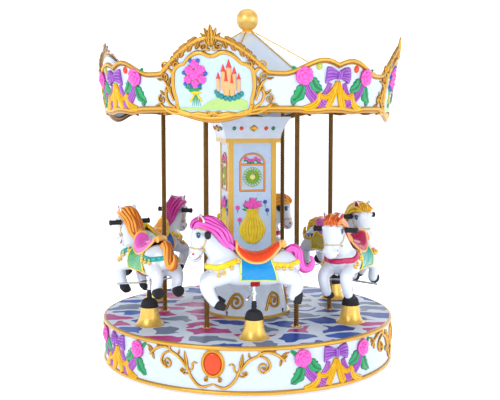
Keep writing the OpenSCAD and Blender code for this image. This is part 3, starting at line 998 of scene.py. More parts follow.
def leaf(
    base: tuple[float, float], tip: tuple[float, float], wide: float, high: float, bend: float = 0.0,
    lobes: int = 0
) -> Mould:
    """A moulded leaf with a furrowed rib.

    Args:
        base: Its foot in flat millimetres.
        tip: Its point.
        wide: Its width.
        high: Its height off the panel.
        bend: How far its middle bows to the left, as a share of its length.
        lobes: Notches along its edge.

    Returns:
        The leaf.
    """
    start, finish = Vector((*base, 0)) * MM, Vector((*tip, 0)) * MM
    along = finish - start
    middle = (start + finish) / 2 + Vector((-along.y, along.x, 0)) * bend
    path = smooth_path([start, middle, finish], 9)

    def half(t: float) -> float:
        notch = 1 - (0.22 * (0.5 + 0.5 * math.cos(TAU * lobes * t)) if lobes else 0.0)
        return wide * MM / 2 * max(0.05, math.sin(math.pi * t**0.8) ** 0.75) * notch

    return stroke(
        path, half, lambda t: high * MM * (0.45 + 0.55 * math.sin(math.pi * min(t + 0.15, 1))), 1, 0.4, 12
    )


def rose(x: float, y: float, radius: float, high: float, turn: float = 0.0, petals: int = 6) -> Mould:
    """A moulded rose: whorls of cupped petals round a tight heart.

    Args:
        x: Its middle in flat millimetres.
        y: Its middle in flat millimetres.
        radius: Its radius.
        high: Its height off the panel.
        turn: Degrees that it is turned by.
        petals: Petals in the outer whorl.

    Returns:
        The rose.
    """
    middle = Vector((x, y, 0)) * MM
    whole = Mould()
    for whorl, (reach, size, lift) in enumerate(((0.62, 0.47, 0.30), (0.40, 0.40, 0.62), (0.18, 0.30, 0.92))):
        count = petals - whorl
        for i in range(count):
            angle = math.radians(turn + 360 * i / count + 31 * whorl)
            out = Vector((math.cos(angle), math.sin(angle), 0))
            side = Vector((-out.y, out.x, 0))
            centre = middle + out * (radius * MM * reach) + Vector((0, 0, high * MM * lift * 0.55))
            tilt = (out * 0.9 + Vector((0, 0, 0.42 + 0.3 * whorl))).normalized()
            axes = (
                side * radius * MM * size * 1.12, tilt * radius * MM * size * 0.92,
                Vector((0, 0, high * MM * 0.42)) - out * radius * MM * 0.10
            )
            whole.add(pebble(centre, axes, 7, 12, 1.0))
    heart = pebble(
        middle + Vector((0, 0, high * MM * 0.75)),
        dome(radius * MM * 0.2, radius * MM * 0.2, high * MM * 0.42)
    )
    return whole.add(heart)


def fold(
    points: Sequence[tuple[float, float]], wide: float, high: float, pleats: int = 3, flare: float = 1.0
) -> Mould:
    """A hanging fall of cloth with pleats along it.

    Args:
        points: Its middle line in flat millimetres, from where it is tied.
        wide: Its width at its end.
        high: Its height off the panel.
        pleats: Furrows along it.
        flare: How much of the width it has only near its end.

    Returns:
        The fall.
    """
    path = smooth_path(mm(points), 7)

    def half(t: float) -> float:
        return wide * MM / 2 * (1 - flare * 0.55 * (1 - t) ** 1.5)

    return stroke(path, half, lambda t: high * MM * (0.75 + 0.25 * math.sin(math.pi * t)), pleats, 0.45, 18)


# --------------------------------------------------------------------------- the skirt


@dataclass
class SkirtRelief:
    """Gold scrollwork and garlands moulded on the skirt round the deck."""

    lay: Layout
    gem_z: float = 0.229
    bow_z: float = 0.262
    relief: float = 15.0
    line: float = 21.0

    def scrollwork(self) -> Mould:
        """One panel's gold scrolls, flat, centred on its gem."""
        high, wide = self.relief, self.line
        half = [
            curl(-44, -111, 17, 60, 1.2, 11, high),
            scroll(
                [
                    (-3, -139), (-36, -153), (-73, -162), (-110, -146), (-135, -120), (-155, -92),
                    (-167, -61), (-176, -38), (-178, -16)
                ], wide, high, 0.5, 0.6
            ),
            scroll(
                [(-170, -58), (-152, -55), (-140, -38), (-140, -14), (-124, -2), (-106, -9)], wide * 0.72,
                high * 0.8, 0.8, 0.5
            ),
            leaf((-176, -34), (-196, 70), 30, high, 0.04),
            curl(-214, -61, 18, 20, -1.3, 12, high * 0.9),
            scroll([(-174, -76), (-190, -84), (-214, -82)], 13, high * 0.9, 0.6, 0.8),
            scroll(
                [(-170, -61), (-196, -26), (-222, 10), (-258, 36), (-297, 55), (-312, 78)], wide, high, 0.4,
                0.7
            ),
            scroll(
                [(-300, 60), (-340, 78), (-383, 74), (-424, 56), (-456, 29), (-480, 10)], wide, high, 0.7, 0.5
            ),
            leaf((-452, 30), (-492, 50), 18, high, 0.1),
            leaf((-446, 24), (-438, -20), 19, high, -0.12),
            leaf((-448, 34), (-506, 72), 22, high, -0.1),
            scroll(
                [(-297, 52), (-330, 46), (-358, 28), (-373, 0), (-372, -24), (-356, -46), (-334, -57)],
                wide * 0.9, high, 0.5, 0.9
            ),
            curl(-332, -23, 36, -92, 1.25, 15, high),
            scroll([(-306, 94), (-309, 76), (-316, 60)], 17, high * 0.9, 0.9, 0.9),
            leaf((-382, 76), (-420, 92), 16, high * 0.8, 0.1),
            leaf((-250, 34), (-236, 78), 17, high * 0.8, -0.1),
        ]
        return Mould().add(*mirrored(half))

    def dress(self) -> None:
        """Puts every panel's relief on the turning deck."""
        gold = each(self.lay.medallions(), self.scrollwork(), lambda a: self.lay.on_skirt(a, self.gem_z))
        settle("skirt_scrolls", gold, Paint.GOLD)
        settle_parts(
            "skirt", Garland(30.0).parts(),
            lambda flat: each(self.lay.bows(), flat, lambda a: self.lay.on_skirt(a, self.bow_z))
        )


@dataclass
class Garland:
    """A bow with drapes, ribbons, roses and leaves, flat and centred on its knot."""

    high: float

    def bow(self) -> Mould:
        """The bow's two loops and its knot."""
        loop = [(10, 2), (38, 12), (68, 20), (97, 22)]
        path = smooth_path(mm(loop), 8)

        def half(t: float) -> float:
            return (17 + 42 * t**0.75) * MM * (1 if t < 0.9 else 1 - 2.4 * (t - 0.9))

        wing = stroke(path, half, lambda t: self.high * MM * (0.7 + 0.5 * math.sin(math.pi * t)), 4, 0.32, 24)
        wing = wing.mapped(lambda p: Vector((p.x, p.y - 0.26 * p.x, p.z)))
        knot = stroke(
            smooth_path(mm([(0, -25), (0, 0), (0, 25)]), 6),
            lambda t: 17 * MM * (0.8 + 0.2 * math.sin(math.pi * t)), lambda t: self.high * MM * 1.3, 2, 0.2,
            14
        )
        return Mould().add(*mirrored([wing])).add(knot)

    def parts(self) -> dict[Paint, Mould]:
        """Every part of the garland by its finish."""
        high = self.high
        drapes = [
            fold([(236, -62), (214, -104), (176, -144), (132, -172), (88, -204)], 78, high * 0.55, 4, 0.45),
            fold([(60, -52), (74, -92), (96, -128), (118, -158)], 46, high * 0.5, 3, 0.4),
        ]
        ribbons = [
            fold([(4, -40), (18, -92), (38, -150), (66, -212)], 58, high * 0.8, 3, 0.9),
            scroll(
                [(12, -64), (44, -112), (84, -140), (124, -136), (142, -112)], 42, high * 0.8, 0.6, 0.35, 2
            ),
            scroll(
                [(140, -122), (146, -164), (176, -196), (214, -212), (246, -214)], 50, high * 0.85, 0.45, 0.6,
                2
            ),
        ]
        leaves = [
            leaf((206, -22), (116, -100), 96, high * 0.5, 0.14, 3),
            leaf((262, -64), (338, -176), 92, high * 0.55, -0.14, 3),
            leaf((300, 10), (344, 46), 34, high * 0.4, 0.1, 2),
        ]
        petals = [rose(256, -8, 60, high * 1.1, 20)]
        return {
            Paint.PURPLE: self.bow(),
            Paint.MAUVE: Mould().add(*mirrored(drapes)),
            Paint.YELLOW: Mould().add(*mirrored(ribbons)),
            Paint.LEAF: Mould().add(*mirrored(leaves)),
            Paint.ROSE: Mould().add(*mirrored(petals)),
        }


# --------------------------------------------------------------------------- the canopy


@dataclass
class Fascia:
    """The leaning fascia: its moulded edges, medallions and garlands."""

    lay: Layout
    steps: int = 720
    edge: float = 28.0
    relief: float = 17.0
    medallion_z: float = 2.031
    bow_z: float = 2.098

    def shell(self) -> Mould:
        """The smooth fascia wall."""
        rows, marks = [], []
        levels = 10
        for i in range(self.steps):
            angle = 360 * i / self.steps
            low, high = self.lay.fascia_bottom(angle), self.lay.fascia_top(angle)
            ring = []
            for k in range(levels + 1):
                z = low + (high - low) * k / levels
                ring.append(polar(self.lay.fascia_radius(z), angle, z))
            for k in range(levels, -1, -1):
                z = low + (high - low) * k / levels
                ring.append(polar(self.lay.fascia_radius(z) - self.lay.fascia_wall, angle, z))
            rows.append(ring)
            marks.append([0.0] * len(ring))
        return Mould().grid(rows, marks, loop=True)

    def moulding(self, edge_at: Callable[[float], float], inset: float, size: float, proud: float) -> Mould:
        """A half-round moulding that follows one of the fascia's edges.

        Args:
            edge_at: The edge's height at an angle.
            inset: How far in from the edge it runs, upwards.
            size: Its height.
            proud: How far it stands off the wall.

        Returns:
            The moulding.
        """
        rows, marks = [], []
        sides = 12
        step = 360 / self.steps
        for i in range(self.steps):
            angle = i * step
            z = edge_at(angle) + inset
            slope = (edge_at(angle + step) - edge_at(angle - step)) / (
                2 * math.radians(step) * self.lay.fascia_radius(z)
            )
            lean = math.atan(slope)
            row, mark = [], []
            for j in range(sides):
                turn = TAU * j / sides
                up, out = math.cos(turn) * size / 2, math.sin(turn)
                across = -up * math.sin(lean)
                height = z + up * math.cos(lean)
                depth = out * proud if out > 0 else out * (self.lay.fascia_wall + proud * 0.5)
                turned = angle + math.degrees(across / self.lay.fascia_radius(z))
                row.append(polar(self.lay.fascia_radius(height) + depth, turned, height))
                # Painted shade on the back half against the wall and along the upper and lower edges.
                mark.append(max(0.0, -out) * 0.7 + 0.3 * abs(math.cos(turn)) ** 6)
            rows.append(row)
            marks.append(mark)
        return Mould().grid(rows, marks, loop=True)

    def cartouche(self) -> Mould:
        """One medallion's gold frame, crest, wings and foliage."""
        high = self.relief
        line = 30
        half = [
            scroll(
                [(0, 176), (-22, 180), (-60, 198), (-103, 196), (-150, 168), (-192, 124)], line, high, 1.0,
                0.7
            ),
            scroll(
                [(-186, 132), (-222, 122), (-256, 92), (-266, 40), (-268, -28), (-249, -103)], line, high,
                0.7, 0.9
            ),
            scroll(
                [(-252, -92), (-248, -140), (-230, -173), (-170, -188), (-100, -182), (-40, -190), (0, -176)],
                line, high, 0.9, 0.8
            ),
            curl(-34, -188, 21, 150, -1.2, 13, high),
            curl(-322, 124, 27, -30, 1.4, 15, high),
            scroll([(-262, 60), (-280, 92), (-300, 104)], 20, high, 0.7, 0.8),
            curl(-232, 128, 22, 240, -1.3, 14, high),
            curl(-256, -150, 24, 60, 1.3, 14, high),
            curl(-366, -88, 28, 100, 1.3, 14, high),
            curl(-306, -26, 24, 200, -1.4, 13, high),
            curl(-330, 56, 26, -60, 1.3, 13, high),
            scroll([(-232, -182), (-290, -176), (-342, -152), (-386, -116)], 22, high, 0.8, 0.7),
            scroll([(-262, -150), (-312, -112), (-330, -62), (-316, -22)], 20, high, 0.8, 0.7),
            scroll([(-276, -100), (-296, -40), (-318, 10), (-340, 34)], 18, high, 0.8, 0.7),
            leaf((-300, -150), (-372, -186), 26, high, 0.1, 2),
            leaf((-366, -130), (-430, -132), 24, high, -0.1, 2),
            leaf((-330, -60), (-376, -30), 24, high, 0.1, 2),
            leaf((-300, 0), (-282, 52), 22, high, 0.1, 1),
            leaf((-344, 40), (-392, 46), 20, high, 0.1, 1),
        ]
        return Mould().add(*mirrored(half))

    def wings(self) -> Mould:
        """The dark gold leaves that climb the arch to the crest."""
        high = self.relief
        half = [
            leaf((-236, 150), (-206, 222), 50, high, 0.15, 3),
            leaf((-204, 170), (-150, 262), 56, high, 0.12, 3),
            leaf((-150, 206), (-86, 298), 54, high, 0.12, 3),
            leaf((-96, 220), (-44, 300), 40, high, 0.1, 2),
            leaf((-262, 120), (-262, 186), 34, high, 0.1, 2),
        ]
        return Mould().add(*mirrored(half))

    def crest(self) -> Mould:
        """The fan of gold petals over the arch."""
        high = self.relief + 4
        fan = [leaf((0, 232), (0, 372), 44, high * 1.1, 0.0)]
        half = [
            leaf((-8, 236), (-38, 354), 34, high, -0.05),
            leaf((-14, 240), (-64, 322), 30, high, -0.08),
            curl(-46, 238, 24, 20, -1.3, 13, high),
            scroll([(-8, 214), (-26, 222), (-46, 214)], 18, high, 0.9, 0.6),
        ]
        return Mould().add(*fan, *mirrored(half))

    def field(self) -> Mould:
        """The pale plate inside a cartouche."""
        rows = []
        for i in range(31):
            x = (-262 + 524 * i / 30) * MM
            share = abs(x) / 0.262
            top = 0.172 + 0.018 * math.sin(share * math.pi) - 0.075 * max(0.0, share - 0.66) / 0.34
            low = -0.176 + 0.06 * max(0.0, share - 0.86) / 0.14
            rows.append((x, low, top))
        return band(rows, 4 * MM)

    def castle(self) -> dict[Paint, Mould]:
        """A little castle on a hill, in low relief."""
        walls, roofs, trees = Mould(), Mould(), Mould()
        towers = [
            (40, -40, 40, 26), (72, -34, 84, 30), (108, -30, 108, 34), (142, -34, 70, 28), (170, -44, 36, 24),
            (92, -66, 24, 44), (128, -68, 12, 36)
        ]
        for x, low, high, wide in towers:
            path = smooth_path(mm([(x, low), (x, high)]), 4)
            walls.add(stroke(path, lambda t, w=wide: w * MM / 2, even(15)))
            spire = smooth_path(mm([(x, high - 2), (x, high + wide * 1.5)]), 6)
            roofs.add(
                stroke(
                    spire, lambda t, w=wide: max(w * MM * 0.62 * (1 - t), 0.6 * MM),
                    lambda t: 17 * MM * (1 - 0.6 * t)
                )
            )
        for x, y, r in (
            (36, -62, 17), (58, -74, 16), (84, -84, 15), (112, -88, 16), (140, -82, 17), (166, -72, 18),
            (188, -58, 15), (24, -46, 13)
        ):
            axes = dome(r * MM, r * 1.25 * MM, 14 * MM)
            trees.add(pebble(Vector((x * MM, y * MM, 0.004)), axes))
        hill = band(
            [
                (x * MM, -160 * MM, max(-72 - 26 * ((x - 100) / 110) ** 2, -140) * MM)
                for x in range(-230, 236, 12)
            ], 8 * MM
        )
        return {Paint.TAN: walls, Paint.SCARLET: roofs, Paint.TEAL: trees, Paint.GRASS: hill}

    def bouquet(self) -> dict[Paint, Mould]:
        """A generic bunch of flowers tied with a ribbon, in low relief."""
        green, pink, blue, gold = Mould(), Mould(), Mould(), Mould()
        for x, y in (
            (-196, 60), (-186, 120), (-150, 160), (-100, 176), (-56, 140), (-36, 84), (-30, 30), (-196, 0),
            (-170, -30), (-60, -24)
        ):
            green.add(leaf((-110, -30), (x, y), 34, 10, 0.08, 2))
        for x, y, r in (
            (-110, 132, 30), (-150, 92, 30), (-70, 92, 30), (-112, 64, 33), (-160, 34, 28), (-64, 34, 28),
            (-112, 6, 28)
        ):
            pink.add(rose(x, y, r, 24, x))
        for x, y in ((-134, 150), (-86, 152), (-184, 78), (-40, 70), (-138, -6), (-84, -8), (-178, 8)):
            axes = dome(14 * MM, 14 * MM, 14 * MM)
            blue.add(pebble(Vector((x * MM, y * MM, 0.008)), axes))
        for x in (-28, -14, 0, 14, 28):
            green.add(scroll([(-112 + x * 0.3, -20), (-112 + x * 0.6, -70), (-112 + x, -136)], 8, 9))
        gold.add(
            scroll([(-150, -52), (-112, -46), (-74, -52)], 20, 15),
            scroll([(-112, -50), (-140, -86), (-158, -112)], 17, 12),
            scroll([(-112, -50), (-86, -84), (-70, -112)], 17, 12)
        )
        return {Paint.LEAF: green, Paint.ROSE: pink, Paint.BLUE: blue, Paint.YELLOW: gold}

    def studs(self) -> dict[Paint, Mould]:
        """Coloured glass studs round a garland."""

        def stud(x: float, y: float, r: float) -> Mould:
            axes = dome(r * MM, r * 1.1 * MM, 14 * MM)
            return pebble(Vector((x * MM, y * MM, 0.001)), axes, 8, 18, 0.4)

        return {
            Paint.GEM_LIME: stud(-152, 53, 22),
            Paint.GEM_RED: stud(156, 42, 22),
            Paint.GEM_GREEN: stud(-318, -176, 20).add(stud(308, -176, 20)),
        }

    def dress(self) -> None:
        """Replaces the fascia and adds its relief."""
        settle("fascia_shell", self.shell(), Paint.WHITE, ["canopy_fascia"])
        top = self.moulding(self.lay.fascia_top, -11 * MM, self.edge * MM, 15 * MM)
        low = self.moulding(self.lay.fascia_bottom, 24 * MM, self.edge * MM, 16 * MM)
        settle("fascia_edges", top.add(low), Paint.GOLD)
        # Two dark gold strips of painted shade: along the foot of the fascia and under its top moulding.
        under = self.moulding(self.lay.fascia_bottom, 4 * MM, 20 * MM, 10 * MM)
        shadow = self.moulding(self.lay.fascia_top, -30 * MM, 8 * MM, 6 * MM)
        settle("fascia_lips", under.add(shadow), Paint.DARK_GOLD)

        def on_medallions(flat: Mould) -> Mould:
            return each(self.lay.medallions(), flat, lambda a: self.lay.on_fascia(a, self.medallion_z))

        def on_bows(flat: Mould) -> Mould:
            return each(self.lay.bows(), flat, lambda a: self.lay.on_fascia(a, self.bow_z))

        settle("cartouches", on_medallions(self.cartouche().add(self.crest())), Paint.GOLD)
        settle("arch_leaves", on_medallions(self.wings()), Paint.DARK_GOLD)
        settle("picture_fields", on_medallions(self.field()), Paint.PALE_BLUE)
        settle_parts("castle", self.castle(), on_medallions)
        settle_parts("bouquet", self.bouquet(), on_medallions)
        settle_parts("canopy", Garland(32.0).parts(), on_bows)
        settle_parts("stud", self.studs(), on_bows)


@dataclass
class Roof:
    """The roof's ball finial; the cone and ribs stay as the frame's own parts."""

    lay: Layout
    ball_z: float = 2.554
    ball_r: float = 0.085
    ribs: int = 8

    def ball(self) -> Mould:
        """The gold ball on its stepped foot."""
        outline = [
            (0.001, self.ball_z - 0.075), (0.040, self.ball_z - 0.098), (0.062, self.ball_z - 0.106),
            (0.062, self.ball_z - 0.094), (0.046, self.ball_z - 0.084), (0.036, self.ball_z - 0.077)
        ]
        for i in range(1, 25):
            angle = math.pi * (0.14 + 0.86 * i / 24)
            outline.append(
                (max(self.ball_r * math.sin(angle), 0.0008), self.ball_z - self.ball_r * math.cos(angle))
            )
        return lathe(outline, 72)

    def dress(self) -> None:
        """Replaces the ball."""
        settle("ball_finial", self.ball(), Paint.BALL_GOLD, ["finial"])


# --------------------------------------------------------------------------- deck, poles and stands


@dataclass
class Deck:
    """The deck's rim, skirt, gems, poles, bell stands and rubber boots."""

    lay: Layout
    rim_r: float = 0.015
    pole_size: float = 0.019
    pole_groove: float = 0.0148
    pole_top: float = 1.870
    pole_lobes: int = 4
    pole_turns: float = 30.0
    flange_h: float = 0.008
    bolt_ring: float = 0.029
    stand_h: float = 0.126
    boot_h: float = 0.128
    boot_r: float = 0.062
    gem_a: float = 0.057
    gem_b: float = 0.073
    gem_z: float = 0.227

    def skirt(self) -> Mould:
        """The smooth white wall round the deck."""
        r, low, high = self.lay.skirt_r, 0.020, self.lay.deck_z
        outline = [
            (r - 0.005, low), (r, low), *[(r, low + (high - low) * i / 8) for i in range(1, 9)],
            (r - 0.005, high)
        ]
        return lathe(outline, 240)

    def rim(self, z: float) -> Mould:
        """A half-round gold rim at a height."""
        outline, marks = [], []
        for i in range(17):
            angle = math.pi * (i / 16 - 0.5)
            outline.append(
                (self.lay.skirt_r + self.rim_r * math.cos(angle), z + self.rim_r * math.sin(angle))
            )
            # Painted shade at the top and the foot of the half-round, where it meets the wall.
            marks.append(0.55 * abs(math.sin(angle)) ** 5)
        outline += [(self.lay.skirt_r - 0.004, z + self.rim_r), (self.lay.skirt_r - 0.004, z - self.rim_r)]
        return lathe(outline, 240, marks=[*marks, 0.4, 0.4])

    def gem(self) -> Mould:
        """One red cabochon, flat, centred on itself."""
        rows, marks = [], []
        for i in range(13):
            share = i / 12
            reach, rise = math.cos(share * math.pi / 2), math.sin(share * math.pi / 2)
            turn = [TAU * j / 48 for j in range(48)]
            rows.append(
                [
                    Vector(
                        (
                            self.gem_a * reach * math.cos(t), self.gem_b * reach * math.sin(t),
                            0.004 + 0.019 * rise
                        )
                    ) for t in turn
                ]
            )
            # Painted shade towards the cabochon's edge.
            marks.append([0.6 * (1 - share) ** 2] * 48)
        back = [Vector((p.x, p.y, -0.004)) for p in rows[0]]
        return Mould().grid([back, *rows[:-1]], [marks[0], *marks[:-1]])

    def gem_frame(self) -> Mould:
        """One gem's moulded oval frame, flat."""
        whole = Mould()
        for grow, size, high in ((0.009, 0.0085, 0.016), (0.019, 0.0050, 0.011)):
            path = [
                Vector(
                    (
                        (self.gem_a + grow) * math.cos(TAU * i / 72),
                        (self.gem_b + grow) * math.sin(TAU * i / 72), 0.002
                    )
                ) for i in range(72)
            ]
            whole.add(tube(path, lambda t, s=size: s, 10, high / size / 1.3, True))
        for i in range(36):
            angle = TAU * i / 36
            centre = Vector(
                ((self.gem_a + 0.0145) * math.cos(angle), (self.gem_b + 0.0145) * math.sin(angle), 0.006)
            )
            axes = dome(0.0042, 0.0042, 0.006)
            whole.add(pebble(centre, axes, 4, 8))
        return whole

    def poles(self) -> bpy.types.Mesh:
        """The six twisted brass poles.

        Returns:
            The poles as one mesh, with painted shade in the grooves between their strands.
        """
        inputs = {
            "Ring": self.lay.pole_r, "Foot": self.lay.deck_z, "Top": self.pole_top, "Size": self.pole_size,
            "Groove": self.pole_groove, "Strands": self.pole_lobes, "Turns": self.pole_turns, "Steps": 420
        }
        geo = GeoTree("twisted_poles", inputs)
        foot = geo.node("ShaderNodeCombineXYZ", inputs={"Z": geo.given("Foot")})
        top = geo.node("ShaderNodeCombineXYZ", inputs={"Z": geo.given("Top")})
        line = geo.node(
            "GeometryNodeCurvePrimitiveLine", inputs={"Start": foot.outputs[0], "End": top.outputs[0]}
        )
        fine = geo.node(
            "GeometryNodeResampleCurve", inputs={"Curve": line.outputs[0], "Count": geo.given("Steps")}
        )
        along = geo.node("GeometryNodeSplineParameter")
        turn = geo.product(geo.product(along.outputs["Factor"], geo.given("Turns")), TAU)
        twisted = geo.node("GeometryNodeSetCurveTilt", inputs={"Curve": fine.outputs[0], "Tilt": turn})
        star = geo.node(
            "GeometryNodeCurveStar",
            inputs={
                "Points": geo.given("Strands"), "Inner Radius": geo.given("Groove"),
                "Outer Radius": geo.given("Size")
            }
        )
        # Painted shade in the grooves between the strands.
        dark = geo.node(
            "ShaderNodeMath", {"operation": "SUBTRACT"}, {0: 1.0, 1: star.outputs["Outer Points"]}
        )
        marked = geo.node(
            "GeometryNodeStoreNamedAttribute", {"data_type": "FLOAT", "domain": "POINT"},
            {"Geometry": star.outputs["Curve"], "Name": PAINTED_SHADE, "Value": dark.outputs[0]}
        )
        round_off = geo.node(
            "GeometryNodeCurveSplineType", {"spline_type": "CATMULL_ROM"}, {"Curve": marked.outputs[0]}
        )
        profile = geo.node("GeometryNodeResampleCurve", inputs={"Curve": round_off.outputs[0], "Count": 16})
        bar = geo.node(
            "GeometryNodeCurveToMesh",
            inputs={"Curve": twisted.outputs[0], "Profile Curve": profile.outputs[0], "Fill Caps": True}
        )
        ring = geo.node("GeometryNodeMeshCircle", inputs={"Vertices": SEATS, "Radius": geo.given("Ring")})
        copies = geo.node(
            "GeometryNodeInstanceOnPoints", inputs={"Points": ring.outputs[0], "Instance": bar.outputs[0]}
        )
        return geo.bake("twisted_poles", copies.outputs[0], Paint.BRASS)

    def bolts(self) -> bpy.types.Mesh:
        """Four domed bolts on every pole's flange."""
        inputs = {
            "Ring": self.lay.pole_r, "Bolt ring": self.bolt_ring, "Height": self.lay.deck_z + self.flange_h,
            "Bolts": 4, "Size": 0.0055
        }
        geo = GeoTree("flange_bolts", inputs)
        dome = geo.node(
            "GeometryNodeMeshUVSphere", inputs={"Segments": 10, "Rings": 6, "Radius": geo.given("Size")}
        )
        small = geo.node(
            "GeometryNodeMeshCircle",
            inputs={"Vertices": geo.given("Bolts"), "Radius": geo.given("Bolt ring")}
        )
        four = geo.node(
            "GeometryNodeInstanceOnPoints", inputs={"Points": small.outputs[0], "Instance": dome.outputs[0]}
        )
        ring = geo.node("GeometryNodeMeshCircle", inputs={"Vertices": SEATS, "Radius": geo.given("Ring")})
        lift = geo.node("ShaderNodeCombineXYZ", inputs={"Z": geo.given("Height")})
        raised = geo.node(
            "GeometryNodeSetPosition", inputs={"Geometry": ring.outputs[0], "Offset": lift.outputs[0]}
        )
        copies = geo.node(
            "GeometryNodeInstanceOnPoints", inputs={"Points": raised.outputs[0], "Instance": four.outputs[0]}
        )
        return geo.bake("flange_bolts", copies.outputs[0], Paint.STEEL)

    def stand(self, centre: Vector) -> Mould:
        """One gold bell stand."""
        # Painted shade on the flange and on the bell, growing towards the deck.
        outline, marks = [(0.030, 0.0), (0.105, 0.0), (0.1055, 0.005)], [0.5, 0.9, 0.3]
        for i in range(25):
            h = self.stand_h * (0.045 + 0.955 * i / 24)
            share = 1 - h / self.stand_h
            outline.append((0.062 + 0.014 * share + 0.029 * share**4, h))
            marks.append(0.35 * share**3)
        outline += [(0.060, self.stand_h), (0.030, self.stand_h)]
        return lathe(outline, 72, centre, [*marks, 0.4, 0.5])

    def boot(self, centre: Vector) -> Mould:
        """One rubber boot: a domed skirt with a lip, and a ribbed neck."""
        r, h = self.boot_r, self.boot_h
        outline = [(0.0135, 0.0), (r, 0.0), (r + 0.003, 0.003), (r + 0.003, 0.008), (r - 0.001, 0.012)]
        for i in range(1, 17):
            angle = math.pi / 2 * i / 17
            outline.append((0.019 + (r - 0.020) * math.cos(angle) ** 0.85, 0.012 + 0.052 * math.sin(angle)))
        for i in range(11):
            share = i / 10
            outline.append(
                (0.0185 - 0.0025 * share + 0.0018 * math.cos(TAU * 3 * share), 0.066 + (h - 0.066) * share)
            )
        outline.append((0.0135, h))
        return lathe(outline, 48, centre)

    def dress(self) -> None:
        """Puts the rim, skirt, gems, poles, stands and boots on."""
        lay = self.lay
        settle("skirt_wall", self.skirt(), Paint.WHITE, ["skirt"])
        settle("deck_rim", self.rim(lay.skirt_high), Paint.GOLD, ["top_trim"])
        settle("skirt_foot_rim", self.rim(lay.skirt_low), Paint.GOLD, ["bottom_trim"])

        def on_gems(flat: Mould) -> Mould:
            return each(lay.medallions(), flat, lambda a: lay.on_skirt(a, self.gem_z))

        settle("skirt_gems", on_gems(self.gem()), Paint.GEM_RED, ["gems"])
        settle("oval_frames", on_gems(self.gem_frame()), Paint.GOLD, ["gem_frames"])
        settle("twisted_poles", self.poles(), Paint.BRASS, ["canopy_poles"])
        settle("flange_bolts", self.bolts(), Paint.STEEL)
        stands = Mould()
        for seat, angle in enumerate(lay.seat_angles(), 1):
            foot = polar(lay.seat_r, angle, lay.deck_z)
            stands.add(self.stand(foot))
            top = foot + Vector((0, 0, self.stand_h))
            boot = settle(f"rubber_boot_{seat}", self.boot(top), Paint.RUBBER, [f"boot_{seat}"], "")
            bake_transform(boot)
        settle("bell_stands", stands, Paint.BRIGHT_GOLD, ["pedestals"])


# --------------------------------------------------------------------------- the column


